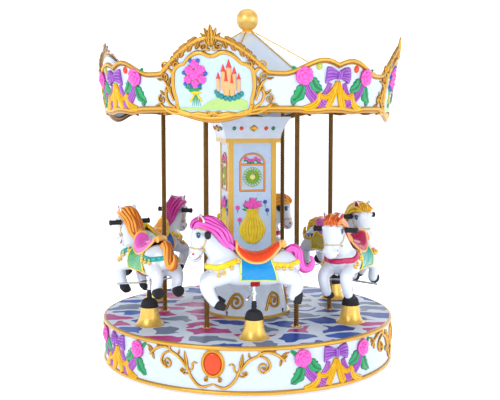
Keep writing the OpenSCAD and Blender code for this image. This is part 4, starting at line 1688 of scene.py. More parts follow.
@dataclass
class Column:
    """The painted column in the middle, its base and its cornice."""

    lay: Layout
    half: float = 0.177
    base_h: float = 0.265
    base_r: float = 0.312
    base_top_r: float = 0.2583
    scroll_z: float = 0.466
    scroll_at: float = -21.0
    window_z: float = 1.387
    vase_z: float = 1.010

    def on_face(self, face: int, height: float) -> Mapping:
        """Puts a flat panel on one face of the column."""
        turn = Matrix.Rotation(math.radians(self.lay.column_turn + 90 * face), 3, "Z")
        return lambda p: turn @ Vector((p.x, -(self.half + p.z), height + p.y))

    def on_base(self, angle: float, height: float) -> Mapping:
        """Wraps a flat panel round the leaning base."""
        lean = (self.base_r - self.base_top_r) / self.base_h

        def wrap(p: Vector) -> Vector:
            z = height + p.y
            radius = self.base_r - lean * (z - self.lay.deck_z)
            return polar(radius + p.z, angle + math.degrees(p.x / 0.29), z)

        return wrap

    def swirl(self) -> Mould:
        """One gold scroll of the base, flat."""
        path = smooth_path(mm([(-78, -66), (-66, -44), (-52, -8), (-30, 36), (0, 60)]), 8)[:-1]
        path += volute((0.003, 0.0), 0.060, 92, -1.55, 0.14)
        arm = stroke(path, lambda t: (12.5 - 4.5 * t) * MM * min(1.0, 0.35 + 9 * t), even(15), 1, 0.3, 12)
        axes = dome(0.008, 0.008, 0.016)
        return arm.add(pebble(Vector((0.003, 0, 0)), axes))

    def window(self) -> dict[Paint, Mould]:
        """An arched window with a green sunburst and flowers over it, flat."""
        frame, burst, heart, blooms, greens = Mould(), Mould(), Mould(), Mould(), Mould()
        arch = [(92 * math.cos(math.pi * k / 12), 96 + 76 * math.sin(math.pi * k / 12)) for k in range(13)]
        frame.add(
            stroke(smooth_path(mm([(92, -102), (92, 0), *arch, (-92, 0), (-92, -102)]), 4), even(8), even(9))
        )
        for y in (-102, 92):
            frame.add(stroke(smooth_path(mm([(-96, y), (96, y)]), 8), even(8), even(9)))
        for i in range(18):
            angle = TAU * i / 18
            tip = (66 * math.cos(angle), 66 * math.sin(angle))
            burst.add(leaf((22 * math.cos(angle), 22 * math.sin(angle)), tip, 17, 8))
        ring = [
            Vector((0.070 * math.cos(TAU * i / 48), 0.070 * math.sin(TAU * i / 48), 0.001)) for i in range(48)
        ]
        burst.add(tube(ring, lambda t: 0.0035, 8, 1.0, True))
        heart.add(pebble(Vector((0, 0, 0.001)), dome(0.021, 0.021, 0.010)))
        for i in range(5):
            x = -50 + 25 * i
            y = 128 + 10 * math.cos(i * 2.1)
            blooms.add(rose(x, y, 14, 10, 30 * i, 5))
            greens.add(
                leaf((x, y - 8), (x + 14, y - 28), 12, 6), leaf((x, y - 8), (x - 16, y - 24), 12, 6),
                scroll([(x, y - 10), (x + 2, y - 26)], 5, 5)
            )
        return {
            Paint.ORANGE: frame, Paint.LIME: burst, Paint.TRIM_YELLOW: heart, Paint.ROSE: blooms,
            Paint.LEAF: greens
        }

    def vase(self) -> dict[Paint, Mould]:
        """A generic yellow vase of flowers, flat."""
        body, blooms, greens, extra, blue = Mould(), Mould(), Mould(), Mould(), Mould()
        outline = [(-118, 34), (-100, 62), (-60, 92), (-10, 104), (40, 84), (84, 50), (122, 44), (140, 60)]
        rows = []
        for i in range(41):
            y = -118 + 258 * i / 40
            wide = next(
                (
                    (w0 + (w1 - w0) * (y - y0) / (y1 - y0)) for (y0, w0),
                    (y1, w1) in zip(outline, outline[1:]) if y0 <= y <= y1
                ), 60
            )
            arch = []
            for j in range(25):
                s = 2 * j / 24 - 1
                crown = math.sqrt(max(0.0, 1 - s * s))
                arch.append(
                    Vector(
                        (s * wide * MM, y * MM, (16 * crown + 2.5 * math.cos(9 * math.pi * s) * crown) * MM)
                    )
                )
            arch += [Vector((wide * 0.9 * MM, y * MM, -0.001)), Vector((-wide * 0.9 * MM, y * MM, -0.001))]
            rows.append(arch)
        # Painted shade in the flutes and along the hidden edges.
        body.grid(
            rows,
            [
                [0.35 - 0.35 * math.cos(9 * math.pi * (2 * j / 24 - 1)) if j < 25 else 1.0 for j in range(27)]
                for _ in rows
            ]
        )
        for x, y, r in ((-42, 176, 24), (2, 196, 27), (44, 174, 24), (-18, 160, 22), (24, 158, 22)):
            blooms.add(rose(x, y, r, 16, x * 3))
        for x, y in ((-74, 170), (-56, 206), (-16, 228), (34, 222), (70, 196), (78, 160), (-80, 140)):
            greens.add(leaf((0, 138), (x, y), 22, 8, 0.1, 2))
        for x, y in ((-112, 150), (-96, 60)):
            extra.add(rose(x, y, 17, 10, 12, 5))
            greens.add(scroll([(x, y - 12), (x - 4, y - 40)], 5, 5))
        for x, y in ((96, 190), (112, 128)):
            blue.add(rose(x, y, 16, 10, 40, 5))
            greens.add(scroll([(x, y - 12), (x + 3, y - 44)], 5, 5))
        return {Paint.URN: body, Paint.ROSE: blooms.add(extra), Paint.LEAF: greens, Paint.BLUE: blue}

    def brackets(self) -> Mould:
        """Small dark fixings round the foot of the base."""
        whole = Mould()
        for i in range(8):
            wrap = self.on_base(12 + 45 * i, self.lay.deck_z + 0.036)
            arm = stroke(smooth_path(mm([(0, -14), (0, 12)]), 4), even(6), even(8))
            knob = pebble(Vector((0, 0.010, 0.007)), dome(0.006, 0.006, 0.006))
            whole.add(arm.add(knob).mapped(wrap))
        return whole

    def cornice_studs(self) -> dict[Paint, Mould]:
        """Gold diamonds and coloured studs on the cornice's four faces."""
        gold, red, green = Mould(), Mould(), Mould()
        rise = 0.075

        def on_cornice(face: int) -> Mapping:
            turn = Matrix.Rotation(math.radians(self.lay.column_turn + 90 * face), 3, "Z")

            def wrap(p: Vector) -> Vector:
                h = rise + p.y
                grow = 0.063 * max(h / 0.153, 0.0) ** 1.6
                return turn @ Vector((p.x, -(0.207 + grow + p.z), 1.672 + h - p.z * 0.5))

            return wrap

        for face in range(4):
            wrap = on_cornice(face)
            diamond = stroke(
                smooth_path(mm([(-34, 0), (0, 0), (34, 0)]), 5), lambda t: 26 * MM * (1 - abs(2 * t - 1)),
                lambda t: 12 * MM * (1 - abs(2 * t - 1)) + 0.002
            )
            gold.add(diamond.mapped(wrap))
            for x, where in ((-92, red), (92, red), (-146, green), (146, green)):
                axes = dome(0.015, 0.015, 0.010)
                where.add(pebble(Vector((x * MM, 0, 0)), axes).mapped(wrap))
        return {Paint.GOLD: gold, Paint.GEM_RED: red, Paint.GEM_GREEN: green}

    def dress(self) -> None:
        """Adds the scrolls, pictures, brackets and studs."""
        angles = [self.scroll_at + 60 * i for i in range(6)]
        swirls = each(angles, self.swirl(), lambda a: self.on_base(a, self.scroll_z))
        settle("base_scrolls", swirls, Paint.GOLD)
        settle("base_brackets", self.brackets(), Paint.FRAME)
        for group, height, parts in (
            ("window", self.window_z, self.window()), ("vase", self.vase_z, self.vase())
        ):
            settle_parts(
                group, parts,
                lambda flat, z=height: Mould().add(*(flat.mapped(self.on_face(face, z)) for face in range(4)))
            )
        settle_parts("cornice", self.cornice_studs(), lambda whole: whole)


# --------------------------------------------------------------------------- the horses


@dataclass(frozen=True)
class Livery:
    """One horse's colours."""

    mane: Finish
    saddle: Finish
    trim: Finish
    blanket: Finish
    border: Finish
    strap: Finish


def enamel(name: str, colour: Colour, shade: Colour) -> Finish:
    """A horse's gloss enamel."""
    return Finish(
        f"horse_{name}", "horse_fibreglass", colour, shade, 0.27, coat=0.45, mottling=0.24, mottle_scale=16.0
    )


PINK = enamel("pink", (0.84, 0.13, 0.56), (0.36, 0.0, 0.24))
FLAME = enamel("flame", (0.88, 0.26, 0.04), (0.45, 0.05, 0.0))
SUN = enamel("sun", (0.90, 0.60, 0.02), (0.55, 0.22, 0.0))
ORANGE = enamel("orange", (0.88, 0.36, 0.03), (0.48, 0.12, 0.0))
MAGENTA = enamel("magenta", (0.72, 0.06, 0.40), (0.34, 0.0, 0.16))
SCARLET = enamel("scarlet", (0.80, 0.07, 0.005), (0.50, 0.03, 0.0))
LEMON = enamel("lemon", (0.88, 0.66, 0.01), (0.62, 0.38, 0.0))
PEACH = enamel("peach", (0.90, 0.50, 0.13), (0.62, 0.26, 0.04))
CRIMSON = enamel("crimson", (0.52, 0.01, 0.10), (0.25, 0.0, 0.04))
SKY = enamel("sky", (0.0, 0.27, 0.62), (0.0, 0.30, 0.22))
TURQUOISE = enamel("turquoise", (0.0, 0.34, 0.30), (0.0, 0.14, 0.20))
OLIVE = enamel("olive", (0.46, 0.36, 0.02), (0.01, 0.10, 0.08))
GRASS = enamel("grass", (0.05, 0.36, 0.14), (0.55, 0.46, 0.02))
MAUVE = enamel("mauve", (0.62, 0.12, 0.46), (0.36, 0.04, 0.26))
ROYAL = enamel("royal", (0.01, 0.12, 0.46), (0.0, 0.05, 0.22))

LIVERIES = (
    Livery(PINK, SCARLET, PEACH, SKY, enamel("border_lime", (0.70, 0.78, 0.20), (0.5, 0.5, 0.08)), LEMON),
    Livery(FLAME, CRIMSON, PEACH, TURQUOISE, LEMON, CRIMSON),
    Livery(SUN, MAUVE, PEACH, OLIVE, LEMON, ROYAL),
    Livery(ORANGE, ROYAL, LEMON, MAUVE, PEACH, CRIMSON),
    Livery(MAGENTA, ORANGE, LEMON, ROYAL, PEACH, LEMON),
    Livery(ORANGE, PINK, PEACH, GRASS, LEMON, TURQUOISE),
)

Station = tuple[float, float, float, float, float]


@dataclass
class Horse:
    """A galloping horse in its own frame: X forward from its rod, Y to its side, Z up from the deck."""

    lay: Layout
    voxel: float = 0.0058
    smoothing: int = 7
    trunk: Sequence[Station] = (
        (-272, 0, 490, 54, 62),
        (-232, 0, 492, 92, 98),
        (-178, 0, 486, 116, 117),
        (-105, 0, 464, 116, 108),
        (-30, 0, 457, 113, 103),
        (50, 0, 457, 115, 104),
        (120, 0, 467, 119, 110),
        (188, 0, 482, 121, 110),
        (244, 0, 494, 106, 92),
        (280, 0, 500, 66, 58),
    )
    neck: Sequence[Station] = (
        (176, 0, 512, 92, 96), (240, 0, 590, 76, 82), (288, 0, 652, 66, 72), (326, 0, 706, 64, 66),
        (344, 0, 746, 58, 54)
    )
    skull: Sequence[Station] = (
        (348, 0, 762, 50, 36),
        (356, 0, 742, 63, 52),
        (362, 0, 710, 75, 58),
        (366, 0, 668, 71, 55),
        (378, 0, 624, 57, 47),
        (387, 0, 590, 53, 48),
        (392, 0, 562, 57, 48),
        (389, 0, 543, 44, 34),
    )
    foreleg: Sequence[Station] = (
        (176, 58, 452, 54, 74),
        (236, 74, 424, 47, 58),
        (290, 80, 405, 43, 52),
        (320, 82, 384, 41, 47),
        (313, 82, 344, 39, 46),
        (290, 81, 296, 36, 40),
        (262, 80, 256, 33, 33),
    )
    hindleg: Sequence[Station] = (
        (-176, 54, 462, 66, 92),
        (-226, 70, 432, 54, 70),
        (-272, 78, 404, 43, 52),
        (-284, 79, 372, 39, 44),
        (-270, 78, 328, 37, 41),
        (-258, 78, 288, 34, 36),
    )

    @staticmethod
    def loft(stations: Sequence[Station], side: float = 1.0, per: int = 6, sides: int = 28) -> Mould:
        """A rounded limb through oval stations.

        Args:
            stations: (x, y, z, half width to the side, half depth) in millimetres.
            side: 1 or -1, which mirrors it.
            per: Steps between stations.
            sides: Steps round it.

        Returns:
            The limb with domed ends.
        """
        centres = smooth_path([(s[0], s[1] * side, s[2]) for s in stations], per)
        sizes = smooth_path([(s[3], s[4], 0.0) for s in stations], per)
        rows = []
        last = len(centres) - 1

        def ring(centre: Vector, ahead: Vector, wide: float, deep: float) -> list[Vector]:
            across = (Vector((0, 1, 0)) - ahead * ahead.y).normalized()
            over = ahead.cross(across)
            turns = [TAU * j / sides for j in range(sides)]
            return [(centre + across * wide * math.cos(t) + over * deep * math.sin(t)) * MM for t in turns]

        for i, (centre, size) in enumerate(zip(centres, sizes)):
            ahead = (centres[min(i + 1, last)] - centres[max(i - 1, 0)]).normalized()
            if i == 0:
                for k in range(4, 0, -1):
                    angle = math.pi / 2 * k / 4.3
                    reach = min(size.x, size.y) * 0.8 * math.sin(angle)
                    rows.append(
                        ring(
                            centre - ahead * reach, ahead, size.x * math.cos(angle), size.y * math.cos(angle)
                        )
                    )
            rows.append(ring(centre, ahead, size.x, size.y))
            if i == last:
                for k in range(1, 5):
                    angle = math.pi / 2 * k / 4.3
                    reach = min(size.x, size.y) * 0.8 * math.sin(angle)
                    rows.append(
                        ring(
                            centre + ahead * reach, ahead, size.x * math.cos(angle), size.y * math.cos(angle)
                        )
                    )
        return Mould().grid(rows)

    def lump(self, x: float, y: float, z: float, a: float, b: float, c: float, lean: float = 0.0) -> Mould:
        """An ellipsoid of muscle, leaning forward by some degrees."""
        turn = Matrix.Rotation(math.radians(lean), 3, "Y")
        axes = [turn @ Vector(v) * MM for v in ((a, 0, 0), (0, b, 0), (0, 0, c))]
        return pebble(Vector((x, y, z)) * MM, axes, 10, 18, 0.0)

    def clay(self) -> Mould:
        """Every solid of the body, still overlapping."""
        whole = Mould().add(self.loft(self.trunk), self.loft(self.neck), self.loft(self.skull))
        whole.add(
            self.lump(246, 0, 470, 56, 84, 60), self.lump(402, 0, 548, 34, 46, 24, 20),
            self.lump(374, 0, 538, 26, 40, 15, 30)
        )
        for side in (1, -1):
            whole.add(self.loft(self.foreleg, side), self.loft(self.hindleg, side))
            whole.add(
                self.lump(328, 28 * side, 662, 40, 40, 54, 8),
                self.lump(408, 34 * side, 572, 30, 24, 24),
                self.lump(392, 52 * side, 728, 22, 18, 16, -20),
                self.lump(300, 84 * side, 398, 52, 40, 46),
                self.lump(-196, 56 * side, 470, 78, 62, 86),
                self.lump(192, 62 * side, 466, 62, 58, 76),
                self.lump(-276, 78 * side, 396, 46, 40, 46),
            )
        return whole

    def body(self) -> bpy.types.Mesh:
        """The body's skin: the clay made one, then smoothed.

        Returns:
            A closed mesh in the horse's own frame.
        """
        raw = bpy.data.objects.new("clay", self.clay().mesh("clay"))
        bpy.context.scene.collection.objects.link(raw)
        remesh = raw.modifiers.new("one_skin", "REMESH")
        remesh.mode = "VOXEL"
        remesh.voxel_size = self.voxel
        soften = raw.modifiers.new("soften", "SMOOTH")
        soften.factor = 0.6
        soften.iterations = self.smoothing
        mesh = bpy.data.meshes.new_from_object(raw.evaluated_get(bpy.context.evaluated_depsgraph_get()))
        bpy.data.objects.remove(raw)
        return mesh

    def skin(self, body: bpy.types.Mesh) -> BVHTree:
        """A search tree of the body's skin."""
        return BVHTree.FromPolygons([v.co for v in body.vertices], [p.vertices for p in body.polygons])

    @staticmethod
    def ribbon(
        skin: BVHTree, path: Sequence[Sequence[float]], wide: float, high: float, per: int = 8,
        sides: int = 10, closed: bool = False
    ) -> Mould:
        """A strap that lies on the body.

        Args:
            skin: The body's search tree.
            path: Rough millimetre points of its middle line, outside the body.
            wide: Its width in millimetres.
            high: Its thickness in millimetres.
            per: Steps between points.
            sides: Steps across it.
            closed: Whether it joins its own start.

        Returns:
            The strap as a closed skin.
        """
        rough = smooth_path([Vector(p) * MM for p in path], per, closed)
        seats = [skin.find_nearest(p) for p in rough]
        line = [hit[0] for hit in seats]
        for _ in range(5):
            line = [
                (
                    line[i - 1 if closed else max(i - 1, 0)] + line[i] * 2 + line[
                        (i + 1) % len(line) if closed else min(i + 1, len(line) - 1)
                    ]
                ) / 4 for i in range(len(line))
            ]
        rows, marks = [], []
        last = len(line) - 1
        for i, spot in enumerate(line):
            after, before = ((i + 1) % len(line), i - 1) if closed else (min(i + 1, last), max(i - 1, 0))
            ahead = line[after] - line[before]
            normal = skin.find_nearest(spot)[1]
            across = ahead.cross(normal).normalized()
            row, mark = [], []
            for j in range(sides + 1):
                s = 2 * j / sides - 1
                place, out, _index, _gap = skin.find_nearest(spot + across * (s * wide * MM / 2))
                out = (out + normal).normalized()
                row.append(place + out * (high * MM * (1 - 0.75 * abs(s) ** 5)))
                # Painted shade along the strap's edges and under it, where it meets the body.
                mark.append(0.75 * abs(s) ** 6)
            row.append(spot + across * wide * MM * 0.45 - normal * 0.003)
            row.append(spot - across * wide * MM * 0.45 - normal * 0.003)
            rows.append(row)
            marks.append([*mark, 1.0, 1.0])
        return Mould().grid(rows, marks, loop=closed)

    def mane(self) -> Mould:
        """The mane: long waved locks over the crest, and a forelock."""
        crest = [
            (402, 772), (384, 806), (350, 816), (306, 816), (262, 801), (222, 775), (188, 738), (164, 694),
            (144, 650), (132, 612)
        ]
        inner = [
            (398, 752), (366, 764), (330, 756), (296, 742), (262, 716), (234, 688), (210, 656), (188, 632),
            (164, 622), (136, 602)
        ]
        whole = Mould()
        for k in range(-4, 5):
            share = abs(k) / 4
            y = 58 * math.sin(share * math.pi / 2) * (1 if k > 0 else -1)
            path = []
            for i, (top, low) in enumerate(zip(crest, inner)):
                drop = share**1.7
                x = top[0] + (low[0] - top[0]) * drop + 5 * math.sin(i * 1.3 + k * 2.0)
                z = top[1] + (low[1] - top[1]) * drop + 5 * math.cos(i * 1.7 + k * 1.3)
                fit = 1.0 if 1 <= i else 0.75
                path.append(Vector((x, y * fit * (1 - 0.25 * i / 9), z)) * MM)
            width = 17.0 if k % 2 else 15.0
            # Each lock's dark sides are painted shade between the locks.
            whole.add(
                tube(
                    smooth_path(path, 5), taper(width * MM, 0.55, 0.35, 0.35), 12, 1.0, up=Vector((0, 1, 0)),
                    side_shade=1.4
                )
            )
        hide = [
            Vector((x * 0.5 + a * 0.5, 0, z * 0.5 + b * 0.5)) * MM for (x, z), (a, b) in zip(crest, inner)
        ]
        whole.add(tube(smooth_path(hide, 5), taper(31 * MM, 0.7, 0.5, 0.3), 14, 1.35, up=Vector((0, 0, 1))))
        for y0, y1, z1, r in (
            (-20, -50, 762, 13), (-8, -22, 748, 14), (6, 8, 740, 14), (18, 36, 752, 13), (28, 58, 770, 11)
        ):
            lock = smooth_path(
                [
                    Vector(p) * MM
                    for p in ((372, y0 * 0.6, 806), (398, y0, 796), (414, (y0 + y1) / 2, 776), (417, y1, z1))
                ], 6
            )
            # The forelock's dark sides are painted shade between its locks.
            whole.add(tube(lock, taper(r * MM, 0.8, 0.12, 0.5), 12, 0.8, up=Vector((0, 1, 0)), side_shade=1.0))
        return whole

    def tail(self) -> Mould:
        """The tail: an S of thick strands that flicks up at its end."""
        spine = [
            (-212, 580), (-240, 598), (-268, 606), (-292, 584), (-301, 546), (-312, 500), (-338, 470),
            (-372, 474), (-392, 502), (-394, 534), (-378, 552)
        ]
        centres = smooth_path([Vector((x, 0, z)) * MM for x, z in spine], 6)
        whole = Mould()
        last = len(centres) - 1
        for k in range(7):
            phase = TAU * k / 7
            path = []
            for i, spot in enumerate(centres):
                share = i / last
                ahead = (centres[min(i + 1, last)] - centres[max(i - 1, 0)]).normalized()
                over = ahead.cross(Vector((0, 1, 0)))
                reach = (20 * math.sin(math.pi * min(share * 1.05 + 0.12, 1)) ** 0.6 + 2) * MM
                angle = phase + 2.2 * share
                path.append(
                    spot + Vector((0, 1, 0)) * (reach * math.cos(angle)) + over * (reach * math.sin(angle))
                )
            # Each strand's dark sides are painted shade between the strands.
            whole.add(tube(path, taper(15.5 * MM, 0.55, 0.15, 0.45), 12, 1.0, up=Vector((0, 1, 0)), side_shade=1.4))
        return whole.add(tube(centres, taper(19 * MM, 0.6, 0.1, 0.5), 12, 1.0, up=Vector((0, 1, 0))))

    def saddle_edges(self) -> list[tuple[float, float, float, float]]:
        """The saddle's (x, top, lower edge, half width) from pommel to cantle."""
        tops = smooth_path(
            [
                (121, 658), (104, 634), (72, 608), (30, 593), (-20, 588), (-70, 599), (-112, 624),
                (-150, 648), (-184, 656)
            ], 4
        )
        lows = smooth_path(
            [
                (115, 604), (98, 578), (66, 548), (28, 528), (-16, 522), (-62, 531), (-104, 556), (-138, 590),
                (-164, 624)
            ], 4
        )
        wides = smooth_path(
            [(0, 48), (1, 66), (2, 82), (3, 92), (4, 95), (5, 93), (6, 84), (7, 68), (8, 50)], 4
        )
        return [((t.x + l.x) / 2, t.y, l.y, w.y) for t, l, w in zip(tops, lows, wides)]

    def saddle(self) -> tuple[Mould, Mould]:
        """The saddle's seat and its rolled trim.

        Returns:
            The seat and the trim.
        """
        rows, left, right = [], [], []
        thick = 9.0
        for x, top, low, wide in self.saddle_edges():
            arch, under = [], []
            for j in range(21):
                s = 2 * j / 20 - 1
                turn = math.pi / 2 * s
                rise = max(math.cos(turn), 0.0) ** 0.75
                arch.append(Vector((x, wide * math.sin(turn), low + (top - low) * rise)) * MM)
                under.append(
                    Vector((x, (wide - thick) * math.sin(turn), low + (top - low - thick) * rise - 1)) * MM
                )
            rows.append([*arch, *reversed(under)])
            left.append(arch[0])
            right.append(arch[-1])
        seat = Mould().grid(rows)
        rim = tube(
            [*left, *rows[-1][1:20], *reversed(right), *reversed(rows[0][1:20])], even(8.5), 10, 1.0, True,
            Vector((0.3, 0.2, 1))
        )
        curl_path = volute((0, 0), 0.020, 200, 1.3, 0.3)
        for side in (-1, 1):
            bent = [Vector((-0.196 - p.x, side * 0.030, 0.640 + p.y)) for p in curl_path]
            rim.add(tube(bent, even(8), 10, 1.0, up=Vector((0, 1, 0))))
        roll = [Vector((-0.196, y * MM, 0.642)) for y in range(-40, 41, 8)]
        rim.add(tube(roll, taper(17 * MM, 0.6, 0.6), 12))
        return seat, rim

    def cloth(self, skin: BVHTree) -> tuple[Mould, Mould]:
        """The saddle cloth's two flaps and their borders.

        Args:
            skin: The body's search tree.

        Returns:
            The flaps and the borders.
        """
        flaps, borders = Mould(), Mould()
        for side in (1, -1):
            rows = []
            for i in range(25):
                share = i / 24
                z = 540 + (412 - 540) * share
                front, back = 94, -112 - 40 * share
                rows.append([])
                for j in range(29):
                    x = front + (back - front) * j / 28
                    hit, normal = self.met(skin, x, z, side)
                    if hit is None:
                        hit, normal = skin.find_nearest(Vector((x, 90 * side, z)) * MM)[:2]
                    fold_in = 2.2 * math.sin(share * 9 + j * 0.45) * share
                    rows[-1].append(hit + normal * ((8 + fold_in) * MM))
            back_rows = [[p - Vector((0, side * 0.007, 0)) for p in reversed(row)] for row in rows]
            flaps.grid([[*row, *under] for row, under in zip(rows, back_rows)])
            edge = [row[0] for row in rows] + rows[-1][1:] + [row[-1] for row in reversed(rows[:-1])]
            borders.add(tube(edge, even(6.5), 10, 0.8))
        return flaps, borders

    def straps(self, skin: BVHTree) -> Mould:
        """The breast strap and the rear strap."""
        breast = [
            (98, 130, 584), (150, 160, 553), (204, 160, 524), (248, 150, 506), (288, 120, 497),
            (322, 62, 492), (334, 0, 490)
        ]
        rear = [
            (-100, 140, 531), (-160, 170, 529), (-220, 160, 529), (-268, 130, 529), (-300, 80, 532),
            (-320, 0, 535)
        ]
        whole = Mould()
        for half, wide in ((breast, 40), (rear, 34)):
            path = [*half, *((x, -y, z) for x, y, z in reversed(half[:-1]))]
            whole.add(self.ribbon(skin, path, wide, 8))
        return whole

    @staticmethod
    def met(skin: BVHTree, x: float, z: float, side: int, start: float = 400) -> tuple:
        """The skin's point and outward direction, met straight from one side, or nothing twice."""
        return skin.ray_cast(Vector((x, start * side, z)) * MM, Vector((0, -side, 0)))[:2]

    def bells(self, skin: BVHTree) -> Mould:
        """Round bells that hang from the straps."""
        whole = Mould()
        for side in (1, -1):
            for x, z in (
                (240, 446), (204, 463), (154, 494), (110, 528), (-150, 492), (-190, 488), (-234, 486)
            ):
                hit, normal = self.met(skin, x, z, side)
                if hit is None:
                    continue
                centre = hit + normal * 0.009
                whole.add(
                    pebble(
                        centre, [Vector(v) * 0.0135 for v in ((1, 0, 0), (0, 1, 0), (0, 0, 1))], 8, 14, 0.5
                    )
                )
                stem = [centre + Vector((0, 0, 0.010)), centre + Vector((0, 0, 0.026))]
                whole.add(tube(stem, even(5), 8))
                slit = [centre + normal * 0.0125 + Vector((d * MM, 0, -0.004)) for d in (-8, 0, 8)]
                whole.add(tube(slit, even(1.6), 6))
        return whole

    def bridle(self, skin: BVHTree) -> Mould:
        """The nose band, cheek straps and brow band."""
        whole = Mould()
        nose = [
            (440, 0, 622), (418, 60, 618), (385, 90, 610), (345, 70, 602), (322, 0, 600), (345, -70, 602),
            (385, -90, 610), (418, -60, 618)
        ]
        whole.add(self.ribbon(skin, nose, 10, 5, closed=True, sides=6))
        for side in (1, -1):
            cheek = [(348, 84 * side, 604), (330, 100 * side, 646), (316, 100 * side, 684)]
            brow = [
                (412, 30 * side, 776), (384, 84 * side, 770), (340, 100 * side, 758), (298, 96 * side, 746)
            ]
            whole.add(self.ribbon(skin, cheek, 11, 5, sides=6), self.ribbon(skin, brow, 12, 5, sides=6))
            whole.add(self.lump(346, 62 * side, 606, 9, 9, 9))
        return whole

    def ears(self) -> tuple[Mould, Mould]:
        """The ears and their red insides.

        Returns:
            The ears and the insides.
        """
        outside, inside = Mould(), Mould()
        for side in (1, -1):
            base, tip = Vector((348, 44 * side, 774)), Vector((360, 66 * side, 836))
            face = Vector((0.45, 0.88 * side, -0.12)).normalized()
            path = smooth_path([base * MM, base.lerp(tip, 0.5) * MM - face * 0.003, tip * MM], 7)
            outside.add(
                tube(path, lambda t: 26 * MM * math.sin(math.pi * (0.30 + 0.68 * t)) ** 0.8, 14, 0.5, up=face)
            )
            inner = [p + face * (0.0075 if 0.1 < i / len(path) < 0.9 else 0.005) for i, p in enumerate(path)]
            inside.add(
                tube(inner[2:-1], lambda t: 17 * MM * math.sin(math.pi * (0.22 + 0.76 * t)), 12, 0.5, up=face)
            )
        return outside, inside

    def eyes(self, skin: BVHTree) -> dict[Finish, Mould]:
        """Eyes with painted highlights, lashes, nostrils and mouth.

        Args:
            skin: The body's search tree.

        Returns:
            The parts by finish.
        """
        iris, dark, glint, rim = Mould(), Mould(), Mould(), Mould()
        for side in (1, -1):
            eye, out = self.met(skin, 372, 706, side, 300)
            nostril, out_n = self.met(skin, 406, 580, side, 300)
            side_way = Vector((0, 0, 1)).cross(out).normalized()
            up = out.cross(side_way)
            iris.add(pebble(eye - out * 0.002, [side_way * 0.0150, up * 0.0190, out * 0.006], 8, 18, 0.3))
            dark.add(pebble(eye - out * 0.0005, [side_way * 0.0108, up * 0.0150, out * 0.0067], 8, 16, 0.0))
            # A small coat-white dot on each eye: a painted highlight.
            glint.add(
                pebble(
                    eye + out * 0.004 + up * 0.006 + side_way * 0.003,
                    [side_way * 0.0032, up * 0.0040, out * 0.0025], 5, 10, 0.0
                )
            )
            lash = [
                eye + out * 0.003 + side_way * (d * MM) + up * ((19 - 0.035 * d * d) * MM)
                for d in range(-20, 21, 4)
            ]
            dark.add(tube(lash, taper(2.6 * MM, 0.2, 0.2), 8))
            for d in (-14, -7, 0, 7, 14):
                root = eye + out * 0.004 + side_way * (d * MM) + up * ((19 - 0.035 * d * d) * MM)
                tip = root + up * 0.008 + side_way * (d * 0.35 * MM) + out * 0.003
                dark.add(tube([root, root.lerp(tip, 0.5), tip], lambda t: 1.3 * MM * (1 - 0.7 * t), 6))
            turn = Vector((0, 0, 1)).cross(out_n).normalized()
            rise = out_n.cross(turn)
            rim.add(
                pebble(
                    nostril - out_n * 0.003,
                    [(turn * 0.8 + rise * 0.4) * 0.0115, (rise * 0.9 - turn * 0.4) * 0.0085, out_n * 0.0055],
                    7, 14, 0.5
                )
            )
            mouth = []
            for x, z in ((350, 574), (347, 562), (352, 549), (368, 540), (386, 535), (400, 532)):
                near = skin.find_nearest(Vector((x, 60 * side, z)) * MM)
                mouth.append(near[0] + near[1] * 0.001)
            rim.add(tube(smooth_path(mouth, 4), taper(3.6 * MM, 0.5, 0.2), 8))
        # The coat-white pieces are the eyes' painted highlights.
        return {Paint.EYE_BLUE: iris, Paint.EYE: dark, Paint.COAT: glint, Paint.MOUTH: rim}

    def hooves(self) -> Mould:
        """Four black hooves."""
        whole = Mould()
        for side in (1, -1):
            for stations in (
                [(260, 80, 252, 35, 31), (236, 80, 238, 38, 31), (204, 80, 224, 34, 23)],
                [(-262, 78, 290, 35, 37), (-286, 78, 286, 38, 41), (-308, 78, 281, 38, 40)],
            ):
                centres = [Vector((s[0], s[1] * side, s[2])) for s in stations]
                rows, marks = [], []
                for i, (centre, s) in enumerate(zip(centres, stations)):
                    ahead = (centres[-1] - centres[0]).normalized()
                    over = ahead.cross(Vector((0, 1, 0)))
                    for push, grow in (
                        ((0, 0.93), (3, 1.0)) if i == 0 else ((0, 1.0),) if i == 1
                        else ((0, 1.0), (6, 0.93), (4, 0.55))
                    ):
                        ring = [
                            (
                                centre + ahead * push + Vector((0, 1, 0)) * (
                                    s[3] * grow * math.cos(TAU * j / 24)
                                ) + over * (s[4] * grow * math.sin(TAU * j / 24))
                            ) * MM for j in range(24)
                        ]
                        rows.append(ring)
                        marks.append([0.2] * 24)
                whole.add(Mould().grid(rows, marks))
        return whole

    def grips(self) -> tuple[Mould, Mould]:
        """The grip bar and its rubber handles.

        Returns:
            The bar and the handles.
        """
        x, z = 310, 712
        bar = tube([Vector((x, y, z)) * MM for y in range(-156, 157, 12)], even(8), 16)
        rubber = Mould()
        for side in (1, -1):
            sizes = [(72, 19), (74, 22), (79, 22), (82, 17.5)]
            sizes += [(86 + 6 * i, 17.5 + 1.1 * (-1) ** i) for i in range(11)]
            sizes += [(150, 18), (153, 21), (158, 21), (160, 17), (161, 8)]
            rows = [
                [
                    Vector((x + r * math.cos(TAU * j / 20), y * side, z + r * math.sin(TAU * j / 20))) * MM
                    for j in range(20)
                ] for y, r in sizes
            ]
            rubber.add(Mould().grid(rows))
        return bar, rubber

    def belly_plate(self, skin: BVHTree) -> Mould:
        """The red plate that wraps the belly at the rod."""
        path = [
            (-4, 110, 386), (-4, 100, 362), (-4, 60, 345), (-4, 0, 338), (-4, -60, 345), (-4, -100, 362),
            (-4, -110, 386)
        ]
        return self.ribbon(skin, path, 62, 5)

